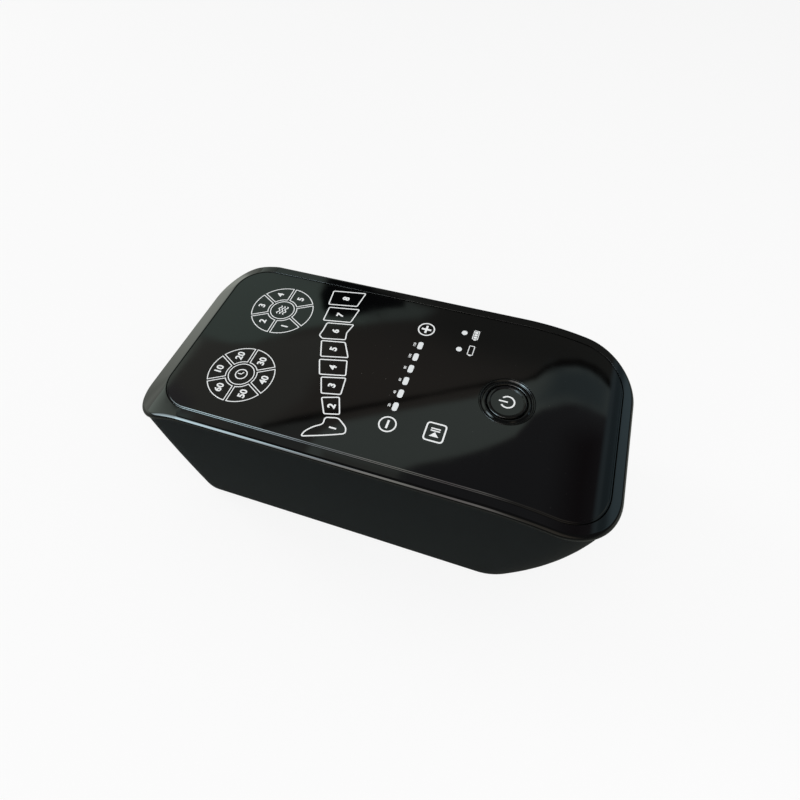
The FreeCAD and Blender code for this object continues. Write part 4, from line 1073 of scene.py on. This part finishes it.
class Ink:
    """Flat printed shapes, laid on one level."""

    def __init__(self):
        self.mesh = bmesh.new()

    def strip(self, first, second, closed):
        """Solid strip between two lines of points."""
        rows = []
        for line, height in ((first, ink_proud), (second, ink_proud), (second, -ink_sunk), (first, -ink_sunk)):
            rows.append([self.mesh.verts.new((x, y, height)) for x, y in line])
        count = len(first)
        for a, b in zip(rows, rows[1:] + rows[:1]):
            for k in range(count if closed else count - 1):
                self.mesh.faces.new([a[k], a[(k + 1) % count], b[(k + 1) % count], b[k]])
        if not closed:
            self.mesh.faces.new([row[0] for row in rows])
            self.mesh.faces.new([row[-1] for row in reversed(rows)])

    def line(self, points, width, closed=True):
        """Line of one width through the points, with mitred corners."""
        points = [Vector(p) for p in points]
        count = len(points)
        sides = ([], [])
        for k, point in enumerate(points):
            before = points[k - 1] if closed or k else point * 2 - points[1]
            after = points[(k + 1) % count] if closed or k < count - 1 else point * 2 - points[k - 1]
            way_in, way_out = (point - before).normalized(), (after - point).normalized()
            across = Vector((-(way_in + way_out).y, (way_in + way_out).x)).normalized()
            reach = width / 2 / max(across.dot(Vector((-way_in.y, way_in.x))), 0.35)
            sides[0].append(point + across * reach)
            sides[1].append(point - across * reach)
        self.strip(sides[0], sides[1], closed)

    def patch(self, points):
        """Filled shape."""
        tops = [self.mesh.verts.new((x, y, ink_proud)) for x, y in points]
        lows = [self.mesh.verts.new((x, y, -ink_sunk)) for x, y in points]
        self.mesh.faces.new(tops)
        self.mesh.faces.new(lows[::-1])
        for k in range(len(points)):
            self.mesh.faces.new([tops[k - 1], tops[k], lows[k], lows[k - 1]])

    def figure(self, words, x, y, height, bold=0.028):
        """Plain bold number with its middle at x, y."""
        curve = bpy.data.curves.new("figure", "FONT")
        curve.body = words
        curve.align_x, curve.align_y = "CENTER", "CENTER"
        curve.offset = bold
        curve.resolution_u = 6
        curve.extrude = 0.5
        holder = linked("figure", curve)
        shape = bpy.data.meshes.new_from_object(holder.evaluated_get(bpy.context.evaluated_depsgraph_get()))
        xs, ys = ([v.co[axis] for v in shape.vertices] for axis in (0, 1))
        scale = height / (max(ys) - min(ys))
        middle = Vector(((max(xs) + min(xs)) / 2, (max(ys) + min(ys)) / 2, 0))
        for vertex in shape.vertices:
            spot = (vertex.co - middle) * scale
            lift = ink_proud if vertex.co.z > 0 else -ink_sunk
            vertex.co = (x + spot.x, y + spot.y, lift)
        self.mesh.from_mesh(shape)
        bpy.data.objects.remove(holder)
        bpy.data.meshes.remove(shape)

    def finish(self, name, body, sag=None):
        """Lays the ink on the flat top, or over a shallow dish, and lets it ride on a body."""
        for vertex in self.mesh.verts:
            lift = vertex.co.z + (sag(vertex.co) if sag else 0.0)
            vertex.co.z = top_z + lift
        dress(solid(name, self.mesh, print_ink, 30.0), body, "light_white")


def softened(points, radius, steps=4):
    """Closed outline with each corner rounded by a curve that starts radius from it."""
    points = [Vector(p) for p in points]
    made = []
    for k, corner in enumerate(points):
        before, after = points[k - 1], points[(k + 1) % len(points)]
        start = corner + (before - corner).normalized() * min(radius, (before - corner).length * 0.45)
        end = corner + (after - corner).normalized() * min(radius, (after - corner).length * 0.45)
        for t in np.linspace(0, 1, steps + 1):
            made.append(start * (1 - t) ** 2 + corner * 2 * t * (1 - t) + end * t**2)
    return made


def around(x, y, radius, start=0.0, end=360.0, steps=64):
    """Points along a circle, without the last where it is whole."""
    stops = np.radians(np.linspace(start, end, steps + 1))
    stops = stops[:-1] if end - start == 360.0 else stops
    return [Vector((x + radius * math.cos(a), y + radius * math.sin(a))) for a in stops]


def box_points(x, y, size_x, size_y):
    return [Vector((x + i * size_x / 2, y + j * size_y / 2)) for i, j in ((-1, -1), (1, -1), (1, 1), (-1, 1))]


# %% [markdown]
# The two dials are rings of six finger sectors. Each sector is outlined on its own, so that two fine lines
# run side by side between neighbours; this is what makes a touch dial look printed and not drawn.

# %% Dials
dial_outer = 17.9
dial_inner = 8.45
dial_centre = 6.9
dial_line = 0.5
spoke_half = 0.75
figure_height = 4.1
figure_offsets = [(0, 13.3), (11.3, 6.8), (11.3, -6.5), (0, -13.3), (-11.3, -6.8), (-11.2, 7.1)]


def sector(x, y, start, end):
    """Outline of one finger sector; its straight sides are parallel to the boundary lines."""
    outer_turn = math.degrees(math.asin(spoke_half / dial_outer))
    inner_turn = math.degrees(math.asin(spoke_half / dial_inner))
    rim_points = around(x, y, dial_outer, start + outer_turn, end - outer_turn, 18)
    hub_points = around(x, y, dial_inner, end - inner_turn, start + inner_turn, 10)
    return rim_points + hub_points


keys = Ink()
dials = [
    (-24.6, 72.8, ["10", "20", "30", "40", "50", "60"]),
    (25.1, 72.8, ["3", "4", "5", "", "1", "2"]),
]
for x, y, figures in dials:
    for number in range(6):
        keys.line(sector(x, y, 60 * number, 60 * number + 60), dial_line)
    keys.line(around(x, y, dial_centre), dial_line)
    for (dx, dy), words in zip(figure_offsets, figures):
        if words:
            keys.figure(words, x + dx, y + dy, figure_height)

# %% [markdown]
# The middle of each dial is bare of words. The left one sets a time, so it gets a clock face; the right one
# picks a programme, so it gets three small waves. Both are plain signs that any maker uses.

# %% Dial signs
sign_stroke, hand_stroke = 0.6, 0.55
clock_radius = 3.1
x, y, _ = dials[0]
keys.line(around(x, y, clock_radius, steps=40), sign_stroke)
keys.line([(x, y + 2.0), (x, y), (x + 1.5, y - 0.9)], hand_stroke, closed=False)
wave_half, wave_rise, wave_pitch = 3.2, 0.62, 1.9
x, y, _ = dials[1]
for row in (-wave_pitch, 0.0, wave_pitch):
    wave = [(x + s, y + row + wave_rise * math.sin(2 * math.pi * s / wave_half))
            for s in np.linspace(-wave_half, wave_half, 33)]
    keys.line(wave, sign_stroke, closed=False)

# %% [markdown]
# Eight keys, one for each air chamber, stand in the shape of a lying leg: the foot first, then the calf,
# the knee with its waist, and the thigh.

# %% Leg keys
leg_line = 0.68
leg_keys = [
    [(-50.3, 26.2), (-47.0, 25.5), (-43.4, 22.5), (-40.6, 18.4), (-36.6, 19.1), (-35.0, 12.5), (-39.2, 6.7),
     (-42.5, 5.8), (-45.0, 11.7), (-47.5, 18.3)],
    [(-34.8, 20.5), (-25.9, 25.6), (-23.1, 16.9), (-32.8, 12.8)],
    [(-23.4, 26.9), (-13.75, 31.1), (-10.6, 18.4), (-21.25, 16.9)],
    [(-12.2, 32.8), (-2.8, 36.9), (0.6, 22.2), (-9.1, 19.1)],
    [(-0.6, 37.2), (10.0, 41.25), (12.5, 28.1), (2.8, 22.5)],
    [(11.6, 41.6), (13.4, 44.1), (17.5, 43.6), (23.4, 43.6), (26.25, 28.4), (19.4, 30.0), (14.4, 28.75)],
    [(24.7, 46.6), (35.3, 47.2), (38.4, 29.7), (27.5, 30.9)],
    [(37.5, 48.7), (48.7, 50.0), (52.0, 30.8), (40.5, 32.0)],
]
leg_figures = [(-41.3, 13.0), (-29.3, 18.7), (-17.2, 23.6), (-5.9, 27.9),
               (6.2, 32.5), (18.9, 36.6), (31.4, 38.8), (44.7, 40.5)]
for number, (outline, spot) in enumerate(zip(leg_keys, leg_figures), 1):
    foot_key = number == 1
    keys.line(softened(outline, 1.6 if foot_key else 0.9), leg_line)
    keys.figure(str(number), *spot, 3.8 if foot_key else 4.2, 0.04)

# %% Pressure, start and battery signs
minus_x, plus_x, step_y = -31.1, 34.95, -12.0
minus_radius, plus_radius, step_line = 4.25, 4.45, 0.75
for x, radius in ((minus_x, minus_radius), (plus_x, plus_radius)):
    keys.line(around(x, step_y, radius), step_line)
minus_size = (4.8, 1.1)
keys.patch(box_points(minus_x, step_y, *minus_size))
plus_half, plus_reach = 0.6, 2.75
quarter = [(plus_half, plus_half), (plus_half, plus_reach), (-plus_half, plus_reach), (-plus_half, plus_half)]
plus = []
for turn in range(4):
    c, s = round(math.cos(turn * math.pi / 2)), round(math.sin(turn * math.pi / 2))
    plus += [(plus_x + c * a - s * b, step_y + s * a + c * b) for a, b in quarter[1:]]
keys.patch(plus)
figure_y = middle("pressure_light_1")[1] + 3.2
for number, name in enumerate(pressure_lights, 1):
    keys.figure(str(20 * number), middle(name)[0], figure_y, 1.4, 0.02)
start_x, start_y = -28.7, -35.6
start_size, start_corner, start_line = (10.2, 9.6), 1.7, 0.8
keys.line(softened(box_points(start_x, start_y, *start_size), start_corner), start_line)
keys.patch([(start_x - 2.6, start_y - 2.4), (start_x + 0.1, start_y), (start_x - 2.6, start_y + 2.4)])
for bar_x in (0.8, 2.05):
    keys.patch(box_points(start_x + bar_x, start_y, 0.7, 4.8))
battery_y, battery_size = -39.5, (6.4, 2.8)
segment_step, segment_size = 1.85, (1.45, 1.7)
for x, segments in ((27.1, 0), (38.7, 3)):
    keys.line(softened(box_points(x, battery_y, *battery_size), 0.4, 2), 0.45)
    keys.patch(box_points(x - 3.7, battery_y, 0.6, 1.3))
    for number in range(segments):
        keys.patch(box_points(x + (number - 1) * segment_step, battery_y, *segment_size))
keys.finish("key_prints", "housing")

# %% [markdown]
# The cap carries the common standby sign: a broken ring with a stem. It is laid over the cap's shallow dish,
# and it rides on the cap, so that it travels when the button is pressed.

# %% Standby sign
sign_radius = 3.45
sign_y = button_y - 0.3
sign_line = 0.82
sign = Ink()
sign.line(around(0, sign_y, sign_radius, 128, 412, 56), sign_line, closed=False)
sign.line([(0, sign_y - 0.1), (0, sign_y + 4.4)], sign_line, closed=False)


def cap_sag(spot):
    return -dish(math.hypot(spot.x, spot.y - button_y))[0]


sign.finish("power_sign", "power_key", cap_sag)

# %% [markdown]
# ## A plain studio
# A pale floor and soft light from a large lamp do for the shape. Polish needs more thought: a black mirror
# shows nothing but what stands round it. So dim cards stand round the pump, as black flags and grey
# cards stand round a glossy product in a studio. Only its reflections show them: they neither light it
# nor cast a shadow.

# %% Floor
def stage_plate(name, corners, material, faces):
    """Stage piece from its points in metres and its faces."""
    data = bpy.data.meshes.new(name)
    data.from_pydata(corners, [], faces)
    data.materials.append(material)
    plate = linked(name, data)
    return plate


floor_finish = Finish("studio_floor", Roughness=0.9, Specular_IOR_Level=0.0)
floor_finish.connect("Base Color", grey(0.8))
white_share = 0.8
shown_white = floor_finish.background_rays() * white_share
white = floor_finish.node("ShaderNodeEmission", None, {"Color": grey(1.0), "Strength": 1.0})
blend = floor_finish.node("ShaderNodeMixShader", None, {0: shown_white})
floor_finish.tree.links.new(floor_finish.shader.outputs[0], blend.socket.node.inputs[1])
floor_finish.tree.links.new(white.socket, blend.socket.node.inputs[2])
floor_finish.tree.links.new(blend.socket, floor_finish.tree.nodes["Material Output"].inputs[0])
floor_size = 6.0
floor_corners = [(i * floor_size, j * floor_size, 0) for i, j in ((-1, -1), (1, -1), (1, 1), (-1, 1))]
stage_plate("floor", floor_corners, floor_finish.material, [(0, 1, 2, 3)])

# %% World
world = bpy.data.worlds.new("studio")
bpy.context.scene.world = world
world.use_nodes = True
sky = Wiring(world.node_tree)
backdrop = sky.tree.nodes["Background"].inputs
ambient = 0.5
sky.fill(backdrop["Color"], grey(1.0))
sky.fill(backdrop["Strength"], ambient + sky.background_rays() * (1 - ambient))
print("the world shows as white and lights at", ambient)


# %% Lamps
def soft_lamp(name, place, size, power):
    """Square area lamp that faces the pump. The polish does not mirror it."""
    data = bpy.data.lights.new(name, "AREA")
    data.size = size
    data.energy = power
    lamp = linked(name, data)
    lamp.location = place
    lamp.rotation_euler = (Vector((0, 0, 0.05)) - Vector(place)).to_track_quat("-Z", "Y").to_euler()
    lamp.visible_glossy = False


soft_lamp("key_lamp", (-0.9, -0.7, 1.5), 1.2, 22.0)
soft_lamp("rim_lamp", (0.3, 1.4, 0.9), 0.5, 5.0)

# %% [markdown]
# What the top mirrors is a painted sheet that hangs round it like a vault. Each point of the sheet lies on
# the ray that leaves one point of the top when the camera looks at it, so the sheet can be painted in
# the top's own millimetres, and the roll needs no special care. Its paint is laid on in soft-edged
# shapes with the tones that they should show, turned into brightness by the polish's reflectance.

# %% Painting helpers
polish_base = 0.0017
polish_mirror = 0.046


def linear(tone):
    """Linear levels of a tone given in screen values from 0 to 255."""
    shares = np.array(tone) / 255
    return np.where(shares <= 0.04045, shares / 12.92, ((shares + 0.055) / 1.055) ** 2.4)


def brightness(tone):
    """Brightness of what a polished black face has to mirror, to show a tone."""
    return np.maximum((linear(tone) - polish_base) / polish_mirror, 0.0)


def depth_inside(outline, x, y):
    """Distance of points from an outline, more than 0 inside it."""
    nearest = np.full(x.shape, 1e9)
    inside = np.zeros(x.shape, bool)
    for (ax, ay), (bx, by) in zip(outline, outline[1:] + outline[:1]):
        along = np.clip(((x - ax) * (bx - ax) + (y - ay) * (by - ay)) / ((bx - ax) ** 2 + (by - ay) ** 2), 0, 1)
        nearest = np.minimum(nearest, np.hypot(x - ax - (bx - ax) * along, y - ay - (by - ay) * along))
        if ay != by:
            inside ^= ((ay > y) != (by > y)) & (x < ax + (y - ay) * (bx - ax) / (by - ay))
    return np.where(inside, nearest, -nearest)


def smooth(value, low, high):
    """Smooth step from 0 to 1."""
    t = np.clip((value - low) / (high - low), 0, 1)
    return t * t * (3 - 2 * t)


# %% Cards that only mirrored rays see
def grid(first, second):
    """All points of a grid, the first direction running fastest."""
    return (values.ravel() for values in np.meshgrid(first, second))


def grid_faces(columns, rows, closed=False):
    """Four-sided faces between the rows of a grid; a closed grid also joins its ends."""
    return [(r * columns + k, r * columns + (k + 1) % columns,
             (r + 1) * columns + (k + 1) % columns, (r + 1) * columns + k)
            for r in range(rows - 1) for k in range(columns if closed else columns - 1)]


def painted(name, points, faces, colours):
    """Card whose points each glow in a colour of their own. Only mirrored rays see it."""
    finish = Finish(name)
    paint = finish.node("ShaderNodeVertexColor", {"layer_name": "paint"})
    glow = finish.node("ShaderNodeEmission", None, {"Color": paint, "Strength": 1.0})
    finish.tree.links.new(glow.socket, finish.tree.nodes["Material Output"].inputs[0])
    card = stage_plate(name, points, finish.material, faces)
    layer = card.data.color_attributes.new("paint", "FLOAT_COLOR", "POINT")
    opaque = np.column_stack([colours, np.ones(len(colours))])
    layer.data.foreach_set("color", opaque.astype(np.float32).ravel())
    for kind in ("camera", "diffuse", "shadow", "transmission"):
        setattr(card, f"visible_{kind}", False)
    print(name, "has", len(faces), "faces")


# %% Painted shapes
band_foot = [
    (12, -116.5), (12.5, -104), (11.5, -98), (9, -93), (5, -88), (1, -83), (-4, -79), (-12, -76), (-19, -73),
    (-25, -67), (-31, -60), (-38, -50), (-43, -42), (-48, -33), (-53, -27), (-75, -24),
]
shapes = [
    ("left_far", [(-75, 150), (-2, 150), (-2, 90), (2, 70), (12, 52), (18, 40), (12, 34), (-30, 34), (-52, 46),
                  (-75, 46)], 6.0, (37, 37, 35)),
    ("left_end", [(-75, 150), (-38, 150), (-40, 104), (-48, 88), (-75, 82)], 5.0, (33, 32, 33)),
    ("left_margin", [(-75, 150), (-55.5, 150), (-55.5, 84), (-75, 84)], 3.0, (46, 52, 50)),
    ("far_strip", [(-48, 113), (-8, 113), (-8, 106.3), (-48, 106.3)], 1.6, (56, 60, 56)),
    ("left_side", [(-75, 66), (-55, 62), (-48, 44), (-38, 27), (-34, 16), (-50, 22), (-75, 22)], 3.0,
     (33, 34, 33)),
    ("right_side", [(36, -12), (75, -12), (75, -150), (18, -150), (26, -90), (28, -40)], 14.0, (21, 21, 20)),
    ("light_corner", [(-7, 150), (-7, 90), (-3, 77), (5, 68), (13, 58), (18, 50), (22, 43), (25, 33), (29, 23),
                      (33, 17), (38, 14), (38, 24), (34, 40), (42, 56),
                      (58, 60), (75, 60), (75, 150)], 2.5, (45, 51, 48)),
    ("right_tail", [(31, 22), (36, 8), (42, -6), (50, -12), (53, 4), (46, 14), (38, 26)], 4.0, (38, 42, 40)),
    ("right_corner", [(35, 150), (54, 100), (52, 60), (75, 56), (75, 150)], 5.0, (42, 47, 45)),
    ("dark_patch", [(28, 44), (33, 51), (44, 57), (75, 58), (75, 27), (56, 28), (54, 7), (48, 5), (44, 14),
                    (39, 22), (34, 28), (30, 36)], 1.6, (5, 5, 6)),
    ("light_band", [(-75, 20), (-52, 20), (-44, 17), (-36, 9), (-27, -6), (-20, -19), (-13, -31), (-7, -42),
                    (-2, -50), (6, -57), (13, -69), (18, -76), (24, -80), (29, -85), (33.5, -91), (36, -97),
                    (36, -104), (34, -110), (31, -116.5)] + band_foot, 1.8, (48, 52, 50)),
    ("left_rail", [(-75, 12), (-54.2, 12), (-54.2, -34), (-75, -34)], 2.5, (37, 38, 36)),
    ("band_end", [(6, -80), (30, -84), (38, -100), (34, -116.5), (12, -116.5), (12, -96)], 8.0, (31, 36, 37)),
    ("lower_left", band_foot[::-1] + [(-75, -116.5)], 1.4, (22, 22, 23)),
    ("dark_corner", [(-75, -100), (-24, -98), (-10, -98), (-4, -102), (0, -108), (1, -116.5), (-75, -116.5)],
     11.0, (13, 11, 12)),
    # painted reflection: a dark stripe that the panel mirrors along the edge of the light band
    ("mirrored_dark_stripe", [(-53, 47), (-50, 47), (-37, 28), (-28, 11), (-13, -15), (-7, -26), (5, -46), (10, -54),
                   (16, -70), (22, -75.5), (29.5, -79.5), (37, -86.3), (42.2, -97), (42.2, -105),
                   (39.4, -112), (34, -116.5), (29, -116.5), (35, -109), (37, -102), (36, -95), (32, -88),
                   (27, -82), (19, -76), (13, -69), (6.8, -55), (3, -47), (-8, -28), (-16.3, -15),
                   (-31.5, 11), (-42, 28)], 1.0, (7, 6, 5)),
    ("end_edge", [(-75, -115), (75, -115), (75, -160), (-75, -160)], 0.6, (29, 34, 36)),
    ("end_stripe", [(-75, -117.5), (75, -117.5), (75, -160), (-75, -160)], 0.8, (22, 27, 29)),
    ("end_light", [(-75, -122), (75, -122), (75, -160), (-75, -160)], 2.0, (38, 46, 49)),
]
print(len(shapes), "shapes on the painted sheet")

# %% [markdown]
# The ground of the sheet is a warm dark brown that darkens a little towards the user's right. At its edges the
# paint fades into the level of the dark room that stands behind it.

# %% Painted sheet
sheet_radius = 2.4
room_level = 0.05
glow_level = (0.74, 0.86, 0.76)
sheet_side, sheet_near, sheet_far = 75.0, -132.0, 150.0
sheet_x = np.arange(-sheet_side, sheet_side + 0.1)
sheet_y = np.arange(sheet_near, sheet_far + 0.1)
grid_x, grid_y = grid(sheet_x, sheet_y)
ground = smooth(grid_x, -10, 60)[:, None]
paint = brightness((32, 30, 28)) * (1 - ground) + brightness((23, 23, 22)) * ground
for _, outline, soft, tone in shapes:
    cover_share = smooth(depth_inside(outline, grid_x, grid_y), -soft, soft)[:, None]
    paint = paint * (1 - cover_share) + brightness(tone) * cover_share
edge_share = smooth(np.minimum(sheet_side - np.abs(grid_x), sheet_far - grid_y), 0, 12)[:, None]
beyond = room_level + np.outer(smooth(grid_y, 60, 100) * smooth(-grid_x, 20, 50), glow_level)
paint = paint * edge_share + beyond * (1 - edge_share)

places = []
for x, y in zip(grid_x, grid_y):
    height, slope_x, slope_y = crown(0.0, min(y, bevel_y))
    spot = Vector((x, y, height)) * MM
    facing = Vector((0.0, -slope_y, 1.0)).normalized()
    ray = (spot - camera_place).normalized().reflect(facing)
    half = spot.dot(ray)
    places.append(spot + ray * (math.sqrt(half**2 - spot.dot(spot) + sheet_radius**2) - half))
painted("painted_sheet", places, grid_faces(len(sheet_x), len(sheet_y)), paint)

# %% [markdown]
# Behind the sheet stands a dark room, so that the rounded edges mirror darkness and not the white world. A
# tall light stands at its left, cool at the far end and warm and dim at the user's end: it draws the
# fine bright lines on the rim, in the groove and on the ring of the button. A faint glow ahead fills
# the bevel's left corner, and a dim mat on the floor keeps the white floor out of the bevel.

# %% Dark room
side_light = [
    (98, (0, 0, 0)), (108, (3.0, 3.6, 3.8)), (134, (8, 10, 10.8)), (142, (12, 15.8, 17.2)),
    (147, (9.5, 12.2, 13.3)), (151, (8.8, 10.4, 11.2)), (155, (4.6, 5.2, 5.6)), (164, (4.2, 4.1, 3.9)),
    (170, (3.7, 3.7, 3.4)), (175, (2.2, 2.0, 2.0)), (182, (2.6, 2.5, 2.4)), (196, (0.5, 0.46, 0.38)),
    (230, (0.4, 0.34, 0.26)), (250, (0, 0, 0)),
]
light_low, light_high, light_fade = 1.0, 50.0, 3.0
room_radius = 2.6
room_lift = 0.004
bearings = np.arange(0.0, 360.0, 1.5)
storeys = np.concatenate([np.arange(-1.0, 80.0, 1.5), [84.0, 88.0]])
azimuth, elevation = grid(bearings, storeys)
above_light = smooth(elevation, light_high - light_fade, light_high + light_fade)
height_share = smooth(elevation, light_low - light_fade, light_low + light_fade) * (1 - above_light)
glow_bearings, glow_shares = [14, 28, 50, 70, 90, 108], [0, 0.5, 0.5, 1, 1, 0]
glow = np.interp(azimuth, glow_bearings, glow_shares) * (1 - smooth(elevation, 40, 60))
room_paint = room_level + np.outer(glow, glow_level)
stops = [turn for turn, _ in side_light]
for band in range(3):
    strength = np.interp(azimuth, stops, [colour[band] for _, colour in side_light], left=0, right=0)
    room_paint[:, band] += strength * height_share
turn, lift = np.radians(azimuth), np.radians(elevation)
points = np.column_stack([room_radius * np.cos(lift) * np.cos(turn), room_radius * np.cos(lift) * np.sin(turn),
                          room_lift + room_radius * np.sin(lift)])
count = len(bearings)
roof = tuple((len(storeys) - 1) * count + k for k in range(count))
painted("dark_room", points.tolist(), grid_faces(count, len(storeys), closed=True) + [roof], room_paint)

# %% Floor mat
across = [-2.5, -1.0, -0.3, -0.1, -0.02, 0.02, 0.06, 0.09, 0.12, 0.15, 0.18, 0.2, 0.22, 0.24, 0.3, 0.4, 0.5,
          1.0, 2.5]
ahead = [-2.5, -0.5, 0.0, 0.2, 0.3, 0.36, 0.42, 0.48, 0.54, 0.6, 0.66, 1.0, 2.5]
mat_lift = 0.002
mat_x, mat_y = grid(across, ahead)
mat_stops = [-0.3, -0.02, 0.06, 0.12, 0.19, 0.22, 0.3]
mat_level = np.interp(mat_x, mat_stops, [0.05, 0.19, 0.31, 0.43, 0.46, 0.27, 0.24])
distant = smooth(mat_y, 0.3, 0.66) * (1 - smooth(mat_x, 0.3, 0.5)) * smooth(mat_x, -0.4, 0.0)
mat_level = mat_level * (1 - distant) + 0.55 * distant
mat_paint = mat_level[:, None] * np.array((1.0, 1.06, 0.95))
mat_points = np.column_stack([mat_x, mat_y, np.full(len(mat_x), mat_lift)])
painted("floor_mat", mat_points.tolist(), grid_faces(len(across), len(ahead)), mat_paint)
